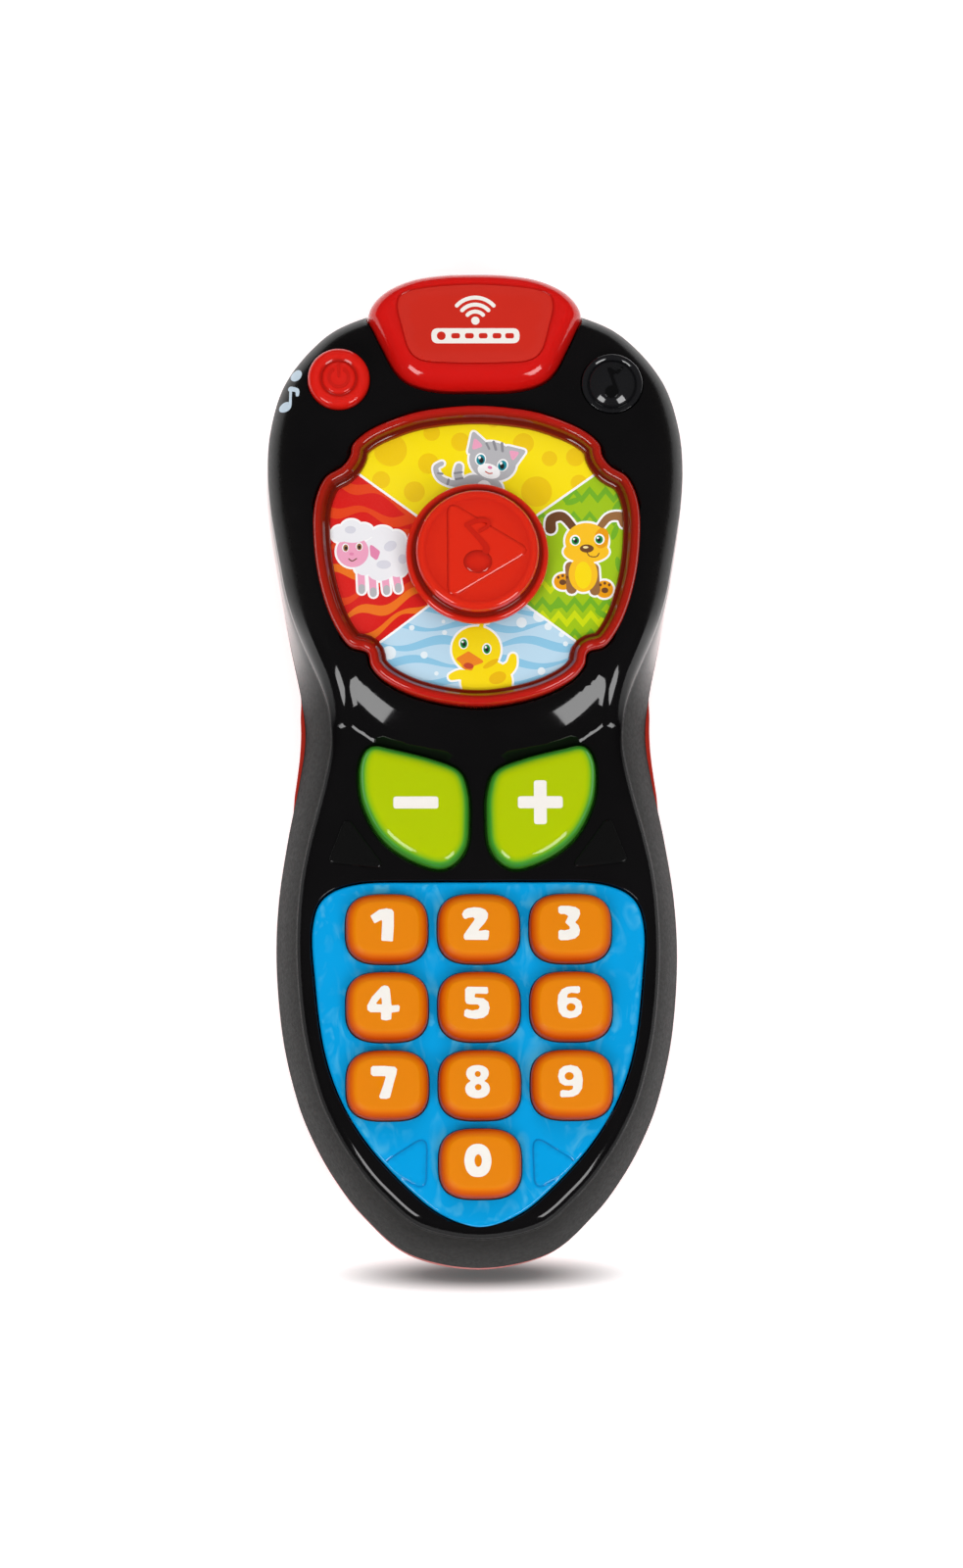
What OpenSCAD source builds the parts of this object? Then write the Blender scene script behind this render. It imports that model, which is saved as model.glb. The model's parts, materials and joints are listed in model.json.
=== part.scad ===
// Toy handset phone: two-piece casing, keypad, picture dial, lens cap and its works.
// Millimetres. +Z out of the face, +Y towards the lens end, resting on its back at z = 0.

/* [Casing] */
// Height of the joint between back and front casing
part_z = 15; // [13:0.5:17]
// Wall thickness of both casings
wall = 2; // [1.6:0.1:2.2]
// Height of the flat lower face
face_z = 26.2; // [25.8:0.1:26.6]
// Height of the domed upper face
dome_z = 33; // [32.4:0.1:33.4]

/* [Number keys] */
// Key width
key_w = 14.7; // [13.6:0.1:14.9]
// Key length
key_l = 12.3; // [11.4:0.1:12.5]
// Column pitch
key_px = 16.5; // [16.3:0.1:16.9]
// Row pitch
key_py = 14.3; // [14:0.1:14.5]
// Height of the key tops
key_top = 29.4; // [28.6:0.1:30]
// Gap round a key
key_gap = 0.3; // [0.2:0.05:0.4]
// Key travel
key_travel = 1.2; // [0.8:0.1:1.4]

/* [Buttons] */
// Radius of the two round shoulder buttons
round_r = 5.5; // [5:0.1:5.8]
// Radius of the flange of the middle button
middle_r = 12.8; // [12.2:0.1:13.2]
// Height of the top of the middle button
middle_top = 38.6; // [37:0.2:40]

/* [Power] */
// Diameter of one AAA cell
cell_d = 10.5; // [10.3:0.1:10.5]
// Length of one AAA cell
cell_l = 44.5; // [43.3:0.1:44.5]

/* [Fasteners] */
// Radius of the casing screws' shank
screw_r = 1.1; // [1:0.05:1.1]
// Radius of the casing screws' head
head_r = 2.4; // [2:0.1:2.5]

/* [Hidden] */
$fn = 48;

// Right half of each outline, from its lowest point on the centre line to its highest.
front_half = [[0,-89.8],[12.6,-87.2],[20.8,-80.3],[26.2,-73.2],[30.1,-66],[32.8,-58.8],[35.2,-48],[36.3,-35],
  [35.9,-23.5],[34.2,-12],[32.2,-2],[31,6.5],[31.7,14],[33.7,24],[35.5,34.4],[37.2,45.2],[37.9,54],[37.3,62],
  [34.8,70.3],[29.6,77.4],[23.4,82],[12,85.6],[0,86.6]];
back_half = [[0,-90],[12.8,-87.4],[21,-80.4],[26.4,-73.3],[30.3,-66],[33,-58.8],[35.4,-48],[36.5,-35],
  [36.1,-23.5],[34.5,-12],[32.7,-2],[31.8,6.5],[32.2,14],[34,24],[35.6,34.4],[37.3,45.2],[38,54],[37.5,62],
  [35,70.3],[29.9,77.4],[24.3,82.2],[13,87.2],[0,88.6]];
panel_half = [[0,-83.5],[7,-81.2],[13,-76.4],[19.6,-69.2],[24.8,-60.8],[28,-51],[29.6,-38],[29.9,-29.5],
  [27.8,-24],[21.5,-21.4],[10,-21.1],[0,-21.1]];
cap_half = [[0,67.6],[6.5,67.7],[11.6,69],[14.6,71.6],[16.8,76],[18.6,80],[19.4,82.2],[18.5,84.6],[15.9,87],
  [11.5,88.9],[6,89.8],[0,90]];
badge_half = [[0,72.6],[5,72.7],[9.6,73.1],[12.1,75],[13.5,79.5],[14.3,83.4],[13.3,85.8],[9,87],[0,87.6]];
bezel_half = [[0,9.7],[6,10.3],[12,11.9],[16.8,14.4],[19.2,17],[20,19.6],[23.4,21],[26.6,26.3],[28.8,34],
  [29.6,42],[29.2,47.4],[27.4,51.6],[24.4,53.6],[22.9,55.6],[22.2,58],[18.6,60.8],[12,63.4],[6,64.5],[0,64.9]];
plus_loop = [[8,-18.9],[13.8,-16.5],[18.1,-12.7],[20.8,-7.3],[21.5,-2.2],[20.9,1.6],[19,3.6],[15.4,3.1],
  [8,1.2],[3.2,-1],[1.6,-5],[1.4,-10],[1.9,-14.9],[4.4,-18.2]];

dial_y = 37.3;
key_y0 = -29.8;
button_x = 24.8;
button_y = 69.7;
screws = [[28.8,-38],[25.2,9.5],[29,57]];
panel_z = 26.2;
plate_z = 31.4;
pcb_z = 17;
pcb_t = 1.6;
dome_top = 21.8;
bay_y1 = -9;
bay_y0 = -63.7;
bay_x = 13.9;
switch_dir = [0.437,0.9];

function cr(a,b,c,d,t) = 0.5*(2*b+(c-a)*t+(2*a-5*b+4*c-d)*t*t+(3*b-a-3*c+d)*t*t*t);
function spline(P,n) = let(m=len(P)) [for (i=[0:m-1]) for (j=[0:n-1])
  cr(P[(i+m-1)%m],P[i],P[(i+1)%m],P[(i+2)%m],j/n)];
function whole(H) = concat(H,[for (i=[len(H)-2:-1:1]) [-H[i].x,H[i].y]]);
function flip(L) = [for (i=[len(L)-1:-1:0]) [-L[i].x,L[i].y]];
function along(L,i) = let(n=len(L),a=L[(i+n-1)%n],b=L[(i+1)%n]) (b-a)/norm(b-a);
function inset(L,d) = [for (i=[0:len(L)-1]) let(t=along(L,i)) [L[i].x-d*t.y,L[i].y+d*t.x]];
function ring(L,dtab,ztab,dd=0,dz=0) = [for (i=[0:len(L)-1]) let(t=along(L,i),d=lookup(L[i].y,dtab)+dd,
  x=L[i].x-d*t.y,y=L[i].y+d*t.x) [x,y,lookup(y,ztab)+dz]];
function superellipse(a,b,p,n) = [for (i=[0:n-1]) let(t=360*i/n,c=cos(t),s=sin(t))
  [a*sign(c)*pow(abs(c),2/p),b*sign(s)*pow(abs(s),2/p)]];
function lift(L,z) = [for (q=L) [q.x,q.y,z]];

// Solid through a stack of rings of equal length, closed by strips across the centre line.
module loft(R) {
  n=len(R[0]); m=len(R); h=n/2;
  side=[for (k=[0:m-2]) for (i=[0:n-1]) each [[k*n+i,(k+1)*n+(i+1)%n,k*n+(i+1)%n],[k*n+i,(k+1)*n+i,(k+1)*n+(i+1)%n]]];
  low=[for (i=[0:h-1]) i==0 ? [0,1,n-1] : i==h-1 ? [h-1,h,h+1] : [i,i+1,n-i-1,n-i]];
  o=(m-1)*n;
  high=[for (f=low) [for (j=[len(f)-1:-1:0]) f[j]+o]];
  polyhedron([for (r=R) each r],concat(low,side,high),convexity=8);
}
// The same for rings that have no centre line, closed by flat faces.
module flat_loft(R) {
  n=len(R[0]); m=len(R); o=(m-1)*n;
  side=[for (k=[0:m-2]) for (i=[0:n-1]) each [[k*n+i,(k+1)*n+(i+1)%n,k*n+(i+1)%n],[k*n+i,(k+1)*n+i,(k+1)*n+(i+1)%n]]];
  polyhedron([for (r=R) each r],concat([[for (i=[0:n-1]) i]],side,[[for (i=[n-1:-1:0]) o+i]]),convexity=6);
}
// Round wire along a list of points.
module wire(P,r,s=8) {
  n=len(P);
  T=[for (i=[0:n-1]) let(a=P[max(i-1,0)],b=P[min(i+1,n-1)]) (b-a)/norm(b-a)];
  R=[for (i=[0:n-1]) let(t=T[i],u0=cross(t,abs(t.x)<0.8?[1,0,0]:[0,1,0]),u=u0/norm(u0),v=cross(t,u))
    [for (j=[0:s-1]) P[i]+r*(cos(360*j/s)*u+sin(360*j/s)*v)]];
  side=[for (k=[0:n-2]) for (i=[0:s-1]) each [[k*s+i,(k+1)*s+(i+1)%s,k*s+(i+1)%s],[k*s+i,(k+1)*s+i,(k+1)*s+(i+1)%s]]];
  o=(n-1)*s;
  polyhedron([for (q=R) each q],concat([[for (i=[0:s-1]) i]],side,[[for (i=[s-1:-1:0]) o+i]]),convexity=6);
}
function open_spline(P,n) = let(m=len(P)) concat([for (i=[0:m-2]) for (j=[0:n-1])
  cr(P[max(i-1,0)],P[i],P[i+1],P[min(i+2,m-1)],j/n)],[P[m-1]]);
module both() { for (s=[0,1]) mirror([s,0,0]) children(); }
module prism(L,z0,z1) { translate([0,0,z0]) linear_extrude(z1-z0) polygon(L); }
module cyl(x,y,z0,z1,r) { translate([x,y,z0]) cylinder(h=z1-z0,r=r); }
module box(x0,x1,y0,y1,z0,z1) { translate([x0,y0,z0]) cube([x1-x0,y1-y0,z1-z0]); }

front_loop = spline(whole(front_half),2);
back_loop = spline(whole(back_half),2);
panel_loop = spline(whole(panel_half),3);
cap_loop = spline(whole(cap_half),2);
badge_loop = spline(whole(badge_half),3);
bezel_loop = spline(whole(bezel_half),2);
green_loop = spline(plus_loop,3);

band = [[-90,4.2],[-60,3.8],[-20,3.8],[-6,4.8],[4,5.6],[10,5],[20,4],[34,3.4],[55,2.6],[87,2.6]];
band_z = [[-90,23],[-70,24],[-6,24],[6,24.6],[14,25.6],[30,26.8],[60,26],[74,23.6],[87,20.4]];
face = [[-90,25],[-80,25.8],[-60,face_z],[1,face_z],[4,27.6],[7.5,30.6],[11,32.4],[15,dome_z],[46,dome_z],
  [58,32.7],[66,31.9],[74,30.4],[80,28.6],[84,26.6],[87,24.6]];
shoulder = [[-90,2.4],[0,2.6],[10,4.2],[24,4.8],[66,4.8],[78,4.2],[87,4]];
function at(T,s,U,w) = [for (q=T) [q[0],q[1]*(1-w)+lookup(q[0],U)*w+s]];
function sum(T,U,w) = [for (q=T) [q[0],q[1]+lookup(q[0],U)*w]];

module front_solid(d,dz,z0) {
  flat=[[-90,0],[90,0]];
  loft([ring(front_loop,flat,[[-90,z0],[90,z0]],d),
    ring(front_loop,flat,[[-90,part_z+0.6],[90,part_z+0.6]],d),
    ring(front_loop,sum(flat,band,0.5),at(band_z,0,[[-90,part_z],[90,part_z]],0.45),d,dz/2),
    ring(front_loop,band,band_z,d,dz/2),
    ring(front_loop,sum(band,shoulder,0.25),at(band_z,0,face,0.66),d,dz),
    ring(front_loop,sum(band,shoulder,0.6),at(band_z,0,face,0.93),d,dz),
    ring(front_loop,sum(band,shoulder,1),face,d,dz)]);
}
module back_solid(d,z0,z1) {
  function r(i,z) = lift(inset(back_loop,d+i),z);
  loft([r(8,z0),r(4.6,z0+1),r(2.2,z0+3.2),r(0.7,z0+6.6),r(0,z0+11),r(0,z1)]);
}
corner_mark = [[17,-18.5],[26.3,-17.6],[26.7,-16.9],[24.4,-10.8],[23.4,-10.6],[16.6,-17.7]];
panel_mark = [[9.4,-66.2],[11,-66.6],[17.2,-70.8],[17.2,-71.6],[11,-75.6],[9.4,-76]];

module green_key_right() {
  g=inset(green_loop,key_gap/2);
  function r(i,z) = lift(inset(g,i),z);
  flat_loft([r(0,24),r(0,26.4),r(0.5,27.7),r(1.5,28.7),r(3.2,29.2)]);
  prism(inset(green_loop,-0.9),22.8,24);
  cyl(11,-7,dome_top+0.05,22.8,4);
}
module number_key(x,y) {
  function r(i,z) = [for (q=superellipse(key_w/2-i,key_l/2-i,3,32)) [q.x+x,q.y+y,z]];
  flat_loft([r(0,24),r(0,26.8),r(0.4,28),r(1.2,28.9),r(2.4,key_top)]);
  prism([for (q=superellipse(key_w/2+0.6,key_l/2+0.6,3,32)) q+[x,y]],22.8,24);
  cyl(x,y,dome_top+0.05,22.8,3);
}
function key_pos(i) = i==0 ? [0,key_y0-3*key_py] : [((i-1)%3-1)*key_px,key_y0-floor((i-1)/3)*key_py];
module round_button(x,y) {
  translate([x,y,0]) rotate_extrude() polygon([[0,dome_top+0.05],[2.5,dome_top+0.05],[2.5,22.2],[round_r+0.8,22.2],
    [round_r+0.8,23.2],[round_r,23.2],[round_r,31.4],[round_r-0.4,32.5],[round_r-1.4,33.2],[round_r-2.6,33.5],[0,33.5]]);
}
module button_guide(x,y) { cyl(x,y,23.3,30,round_r+1.6); }

module front_shell() color([0.03,0.03,0.035]) difference() {
  union() {
    difference() { front_solid(0,0,part_z); front_solid(wall,-wall,part_z-1); }
    intersection() {
      union() {
        for (q=screws) both() cyl(q.x,q.y,12,33,3);
        both() cyl(23,-15.5,18.7,25,2);
        both() cyl(24,15.5,18.7,32,2);
        both() button_guide(button_x,button_y);
      }
      front_solid(0.6,-0.6,10);
    }
    both() prism(corner_mark,face_z-1,face_z+0.35);
  }
  prism(inset(panel_loop,-0.15),20,30);
  both() prism(inset(green_loop,-key_gap/2),20,30);
  prism(inset(bezel_loop,-0.2),20,40);
  translate([0,dial_y,32.3]) linear_extrude(4) scale([31,28.8]) circle(r=1,$fn=64);
  both() cyl(button_x,button_y,20,40,round_r+0.25);
  both() cyl(button_x,button_y,20,23.3,round_r+1.1);
  prism(inset(cap_loop,-0.25),14,40);
  for (q=screws) both() cyl(q.x,q.y,11,20,screw_r+0.05);
  both() cyl(23,-15.5,18,22.5,0.85);
  both() cyl(24,15.5,18,24,0.85);
}

module back_shell() color([0.85,0.06,0.03]) difference() {
  union() {
    difference() { back_solid(0,0,part_z); back_solid(wall,wall,part_z+1); }
    intersection() {
      union() {
        for (q=screws) both() cyl(q.x,q.y,0,11.95,4.2);
        box(-bay_x-1.4,bay_x+1.4,bay_y0-1.4,bay_y1+1.4,1,14.6);
        difference() { cyl(0,dial_y,1,7,16.4); cyl(0,dial_y,0,8,15.2); }
        translate([-29.6,67.4,7.6]) rotate([0,0,-25.9]) cube([3,15,6],center=true);
      }
      back_solid(0.5,0.5,30);
    }
  }
  difference() {
    box(-bay_x,bay_x,bay_y0,bay_y1,-1,13.4);
    box(-3.6,3.6,-63,-58.4,2.3,14);
    box(-bay_x-1,bay_x+1,-58.4,-57.2,2.3,14);
  }
  cyl(0,-60.8,1,9,1.65);
  both() box(8.8,12.8,bay_y1-1,bay_y1+2,2,4.6);
  for (q=screws) both() { cyl(q.x,q.y,-1,7,head_r+0.3); cyl(q.x,q.y,6,13,1.6); }
  for (a=[0:60:359]) cyl(5*cos(a),dial_y+5*sin(a),-1,4,0.9);
  for (a=[0:30:359]) cyl(10*cos(a),dial_y+10*sin(a),-1,4,0.9);
  cyl(0,dial_y,-1,4,0.9);
  translate([-32.6,68.9,8.2]) rotate([0,0,-25.9]) cube([14,9.6,3.2],center=true);
  translate([-27.6,66.4,8.2]) rotate([0,0,-25.9]) cube([3.7,9.6,4.5],center=true);
  box(-3,3,bay_y1-1,bay_y1+4,9,12);
}

// Curved claw of the battery door, round about the line the door tilts on.
module hook(x0,x1) intersection() {
  difference() {
    translate([x0,bay_y1,0.2]) rotate([0,90,0]) cylinder(h=x1-x0,r=3.7);
    translate([x0-1,bay_y1,0.2]) rotate([0,90,0]) cylinder(h=x1-x0+2,r=2.9);
  }
  translate([x0-0.5,bay_y1,0.2]) rotate([90,0,90]) linear_extrude(x1-x0+1) polygon([[0,0],[5,5],[0,8],[-8,8],[-7.25,3.38]]);
}
module battery_door() color([0.8,0.05,0.03]) difference() {
  union() {
    box(-bay_x+0.3,bay_x-0.3,bay_y0+0.3,bay_y1-0.3,0.2,2);
    both() hook(9.3,12.3);
    for (y=[-50:8:-16]) box(-1.2,1.2,y,y+1,1.9,3.4);
  }
  cyl(0,-60.8,-1,3,1.45);
  cyl(0,-60.8,-1,1.2,2.6);
}
module cross_slot(x,y,z) { for (a=[0,90]) translate([x,y,z]) rotate([0,0,a]) cube([2.6,0.6,1.2],center=true); }
module battery_door_screw() color([0.7,0.7,0.72]) difference() {
  union() { cyl(0,-60.8,0.3,1.15,2.3); cyl(0,-60.8,1,5.6,1.2); }
  cross_slot(0,-60.8,0.2);
}
module case_screws() color([0.7,0.7,0.72]) for (q=screws) for (s=[-1,1]) difference() {
  union() { cyl(s*q.x,q.y,5.4,6.95,head_r); cyl(s*q.x,q.y,6.8,19,screw_r); }
  cross_slot(s*q.x,q.y,5.4);
}
module pcb_screws() color([0.72,0.72,0.74]) for (q=[[23,-15.5],[14,-70],[24,15.5],[12.02,dial_y-10.6],[12.02,dial_y+10.6]]) for (s=[-1,1]) difference() {
  union() { cyl(s*q.x,q.y,15.9,16.95,1.8); cyl(s*q.x,q.y,16.8,21.8,0.8); }
  translate([s*q.x,q.y,15.8]) cube([2,0.5,1],center=true);
}

module keypad_panel() color([0,0.55,0.85]) difference() {
  union() {
    flat_loft([lift(inset(panel_loop,0.1),24.2),lift(inset(panel_loop,0.1),25.7),lift(inset(panel_loop,0.6),panel_z)]);
    intersection() { prism(inset(panel_loop,-1.3),22.6,24.25); front_solid(2.6,-2.6,14); }
    both() cyl(14,-70,18.7,24.5,2);
    both() prism(panel_mark,panel_z-1,panel_z+0.35);
  }
  for (i=[0:9]) let(q=key_pos(i)) {
    prism([for (e=superellipse(key_w/2+key_gap,key_l/2+key_gap,3,32)) e+q],20,30);
    prism([for (e=superellipse(key_w/2+0.78,key_l/2+0.78,3,32)) e+q],20,24.15);
  }
  both() cyl(14,-70,18,22.5,0.85);
  both() prism(inset(green_loop,-1.2),20,30);
  for (q=screws) both() cyl(q.x,q.y,20,24.4,3.3);
}

module bezel_ring(o,i,z0,z1) { difference() { prism(inset(bezel_loop,o),z0,z1); prism(inset(bezel_loop,i),z0-1,z1+1); } }
module dial_bezel() color([0.75,0.03,0.02]) {
  difference() {
    union() {
      bezel_ring(0.05,3.2,29.6,33.4);
      bezel_ring(0.6,2.7,33.2,34.4);
      intersection() { bezel_ring(-1.3,1,28.6,29.9); front_solid(2.4,-2.4,14); }
    }
    prism(inset(bezel_loop,2),28,plate_z+0.3);
  }
}
module picture_plate() color([0.92,0.92,0.9]) difference() {
  union() {
    prism(inset(bezel_loop,2.1),30,plate_z);
    for (a=[45:90:359]) cyl(17*cos(a),dial_y+15*sin(a),19,30.1,2.2);
  }
  cyl(0,dial_y,29,33,11.5);
  for (a=[45:90:359]) cyl(17*cos(a),dial_y+15*sin(a),18,24,0.9);
}
module picture_label() color([1,0.88,0]) difference() {
  prism(inset(bezel_loop,2.15),plate_z+0.02,plate_z+0.25);
  cyl(0,dial_y,29,33,11.6);
}
module middle_button() color([0.85,0.05,0.03]) {
  translate([0,dial_y,0]) rotate_extrude($fn=72) polygon([[9.6,24],[11.9,24],[11.9,25.2],[11.1,25.2],[11.1,33.6],
    [middle_r-0.3,33.6],[middle_r,34.2],[middle_r-0.4,35.2],[11.7,35.7],[11.2,36.6],[10.8,37.8],[10.2,38.4],
    [9.4,middle_top],[0,middle_top],[0,36.8],[8.6,36.8],[9.6,35.6]]);
  both() { cyl(8,dial_y,dome_top+0.05,25,1.5); box(7,11,dial_y-1.4,dial_y+1.4,24,25.2); }
}
module power_button() color([0.85,0.06,0.04]) round_button(-button_x,button_y);
module music_button() color([0.04,0.04,0.045]) round_button(button_x,button_y);

function cap_ring(d,i,z) = [for (q=inset(cap_loop,d)) [q.x*(1-0.043*i),83+(q.y-83)*(1-0.065*i),z]];
module lens_cap() color([0.85,0.08,0.05]) difference() {
  union() {
    loft([cap_ring(0,0,15.2),cap_ring(0,0,28.6),cap_ring(0,0.6,31),cap_ring(0,2,32.8),cap_ring(0,3.6,33.5)]);
    intersection() { prism(inset(cap_loop,-1.2),19.6,20.8); box(-30,30,60,78,19,21); }
  }
  loft([cap_ring(1.8,0,14),cap_ring(1.8,0,28),cap_ring(1.8,0.6,30),cap_ring(1.8,1.6,31.2)]);
  box(-30,30,60,84.2,14,19.4);
  prism(badge_loop,33,40);
}
module lens_badge() color([0.8,0.1,0.06]) prism(inset(badge_loop,0.1),33,33.35);
module lens_reflector() color([0.93,0.93,0.92]) difference() {
  translate([0,78,0]) rotate_extrude() polygon([[3.2,20.4],[4.4,20.4],[8,29],[7,29]]);
  cyl(0,78,19,40,2.9);
}

module dome(x,y) { translate([x,y,0]) rotate_extrude($fn=32) polygon([[0,20.4],[2.2,20.4],[3.4,19.2],[4,19.2],[2.8,dome_top],[0,dome_top]]); }
module key_membrane() color([0.85,0.85,0.83]) {
  difference() {
    union() { box(-24.4,24.4,-50,-23,18.65,19.4); box(-24.4,24.4,-64.4,-49,18.65,19.4); box(-9,9,-77,-60,18.65,19.4); box(-20,20,-24,2,18.65,19.4); }
    for (i=[0:9]) let(q=key_pos(i)) cyl(q.x,q.y,18,20,3.3);
    for (s=[-1,1]) cyl(s*11,-7,18,20,3.3);
  }
  for (i=[0:9]) let(q=key_pos(i)) dome(q.x,q.y);
  for (s=[-1,1]) dome(s*11,-7);
}
module button_membrane() color([0.85,0.85,0.83]) for (q=[[-button_x,button_y],[button_x,button_y],[-8,dial_y],[8,dial_y]]) {
  difference() { cyl(q.x,q.y,18.65,19.4,4.4); cyl(q.x,q.y,18,20,3.3); }
  dome(q.x,q.y);
}

module key_pcb() color([0.05,0.35,0.15]) difference() {
  prism([[-25.4,4],[-25.4,-48],[-21,-62],[-17,-74],[-10,-80],[10,-80],[17,-74],[21,-62],[25.4,-48],[25.4,4]],pcb_z,pcb_z+pcb_t);
  for (q=[[23,-15.5],[14,-70]]) both() cyl(q.x,q.y,10,20,1.1);
}
module main_pcb() color([0.05,0.35,0.15]) difference() {
  prism([[-26.5,13.2],[26.5,13.2],[26.5,18],[25,22],[25,40],[25,61],[30,62.5],[29.6,72],[24,76],[14,81],[-14,81],[-24,76],[-29.6,72],[-30,62.5],[-25,61],[-25,40],[-25,22],[-26.5,18]],pcb_z,pcb_z+pcb_t);
  both() cyl(24,15.5,10,20,1.1);
  for (a=[45:90:359]) cyl(17*cos(a),dial_y+15*sin(a),10,20,1.1);
}
module chip_blob() color([0.03,0.03,0.03]) translate([0,56,pcb_z+pcb_t+0.02]) rotate_extrude() polygon([[0,0],[5,0],[4.8,0.7],[3.6,1.3],[0,1.6]]);
module capacitor() color([0.1,0.15,0.4]) { cyl(9,64,pcb_z+pcb_t+0.02,24.6,2.5); cyl(9,64,24.55,24.8,1.9); }
module resistors() color([0.12,0.12,0.12]) for (q=[[-10,62],[-13,62],[-16,62],[14,50],[17,50],[-8,20],[-5,20],[5,20],[8,20]])
  box(q.x,q.x+1.2,q.y,q.y+2,pcb_z+pcb_t+0.02,pcb_z+pcb_t+0.6);
module led(x,y) translate([x,y,pcb_z+pcb_t+0.02]) rotate_extrude($fn=32) polygon([[0,0],[2.9,0],[2.9,1],[2.5,1],[2.5,6],[2.1,7.4],[1.2,8.3],[0,8.6]]);
module middle_led() color([0.95,0.5,0.45]) led(0,dial_y);
module lens_led() color([0.95,0.5,0.45]) led(0,78);

module speaker_frame() color([0.55,0.55,0.57]) translate([0,dial_y,0]) rotate_extrude()
  polygon([[12.6,2.3],[14.8,2.3],[14.8,3.1],[13.4,3.1],[11,6.6],[8.2,6.6],[8.2,5.8],[10.4,5.8],[12.6,2.9]]);
module speaker_magnet() color([0.2,0.2,0.21]) { cyl(0,dial_y,6.7,10.6,8); cyl(0,dial_y,10.6,11.2,6.6); }
module speaker_cone() color([0.08,0.08,0.08]) translate([0,dial_y,0]) rotate_extrude()
  polygon([[0,4.2],[3.6,4.9],[4.2,5],[12.4,2.5],[12.4,2.8],[4.2,5.5],[0,5.5]]);

module slide_switch_body() color([0.7,0.7,0.72]) translate([-27.6,66.4,8.2]) rotate([0,0,-25.9]) difference() {
  cube([3.6,9.4,4.4],center=true);
  translate([-1.6,0,0]) cube([1.4,7.6,1.9],center=true);
}
module switch_knob() color([0.05,0.05,0.055]) translate([-32.6+switch_dir.x*1.9,68.9+switch_dir.y*1.9,8.2]) rotate([0,0,-25.9]) {
  cube([4.6,3.6,2.8],center=true);
  translate([3.3,0,0]) cube([2.4,1.6,1.4],center=true);
}

module cell(x,s) translate([x,0,2.65+cell_d/2]) {
  a=-33.55; l=cell_l-0.8;
  translate([0,a-cell_l/2+(s>0?0:0.8),0]) rotate([-90,0,0]) cylinder(h=l,r=cell_d/2);
  translate([0,a-cell_l/2+(s>0?l-0.05:0),0]) rotate([-90,0,0]) cylinder(h=0.85,r=1.9);
}
module battery_1() color([0.15,0.35,0.7]) cell(-5.6,1);
module battery_2() color([0.15,0.35,0.7]) cell(5.6,-1);
function coil(x,y0,y1,r0,r1,t) = [for (i=[0:t*10]) let(f=i/(t*10)) [x+(r0+(r1-r0)*f)*cos(36*i),y0+(y1-y0)*f,2.65+cell_d/2+(r0+(r1-r0)*f)*sin(36*i)]];
module battery_springs() color([0.78,0.78,0.8]) { wire(coil(-5.6,-56.6,-56.02,3.6,2,2),0.14,6); wire(coil(5.6,-10.5,-11.1,3.6,2,2),0.14,6); }
module battery_contacts() color([0.78,0.78,0.8]) {
  box(-9.6,9.6,-57.15,-56.85,4.6,12.4);
  box(-9.6,-1.6,-9.9,-9.4,4.8,12.4);
  box(1.6,9.6,-9.9,-9.4,4.8,12.4);
}
module battery_leads() color([0.8,0.1,0.08]) for (s=[-1,1])
  wire(open_spline([[s*2.2,-9.1,10.5],[s*2,-6.5,10.8],[s*3,2,12],[s*6,9,14],[s*8,14,15.4],[s*9,17.4,15.9],[s*9,17.4,16.9]],3),0.5);
module speaker_leads() color([0.1,0.1,0.1]) for (s=[-1,1])
  wire(open_spline([[s*9.3,34,6.7],[s*9.3,34,7.7],[s*10.6,30.6,9],[s*11,27,11.4],[s*10,23,14],[s*9.6,22,16],[s*9.6,22,16.95]],3),0.5);
module board_link() color([0.6,0.6,0.62]) for (i=[-3:3])
  wire([[i*1.3,2.6,16.95],[i*1.3,2.6,15.6],[i*1.3,4.6,14.6],[i*1.3,12.6,14.6],[i*1.3,15.4,15.6],[i*1.3,15.4,16.95]],0.4);

back_shell();
front_shell();
battery_door();
battery_door_screw();
case_screws();
keypad_panel();
for (i=[0:9]) color([0.95,0.45,0]) number_key(key_pos(i).x,key_pos(i).y);
color([0.65,0.8,0.02]) mirror([1,0,0]) green_key_right();  // minus_key
color([0.65,0.8,0.02]) green_key_right();  // plus_key
dial_bezel();
picture_plate();
picture_label();
middle_button();
power_button();
music_button();
lens_cap();
lens_badge();
lens_reflector();
key_membrane();
button_membrane();
key_pcb();
main_pcb();
pcb_screws();
chip_blob();
capacitor();
resistors();
middle_led();
lens_led();
speaker_frame();
speaker_magnet();
speaker_cone();
slide_switch_body();
switch_knob();
battery_1();
battery_2();
battery_springs();
battery_contacts();
battery_leads();
speaker_leads();
board_link();
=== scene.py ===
import bpy, bmesh, json, math
import numpy as np
from mathutils import Vector, Matrix
from mathutils.geometry import delaunay_2d_cdt


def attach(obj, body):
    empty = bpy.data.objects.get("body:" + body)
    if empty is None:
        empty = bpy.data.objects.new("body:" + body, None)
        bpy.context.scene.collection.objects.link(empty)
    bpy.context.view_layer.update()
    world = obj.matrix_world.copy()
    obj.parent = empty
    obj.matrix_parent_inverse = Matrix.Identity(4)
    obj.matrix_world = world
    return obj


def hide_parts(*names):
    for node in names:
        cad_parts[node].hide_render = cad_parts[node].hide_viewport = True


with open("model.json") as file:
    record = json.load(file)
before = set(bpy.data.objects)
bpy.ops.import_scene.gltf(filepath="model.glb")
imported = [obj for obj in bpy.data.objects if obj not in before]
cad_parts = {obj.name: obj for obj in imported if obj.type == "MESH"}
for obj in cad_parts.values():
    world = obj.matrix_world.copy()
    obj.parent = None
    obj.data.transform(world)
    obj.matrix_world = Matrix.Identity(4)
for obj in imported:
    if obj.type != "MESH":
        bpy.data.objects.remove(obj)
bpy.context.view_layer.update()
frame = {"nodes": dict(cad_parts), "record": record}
MM = 0.001
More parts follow.
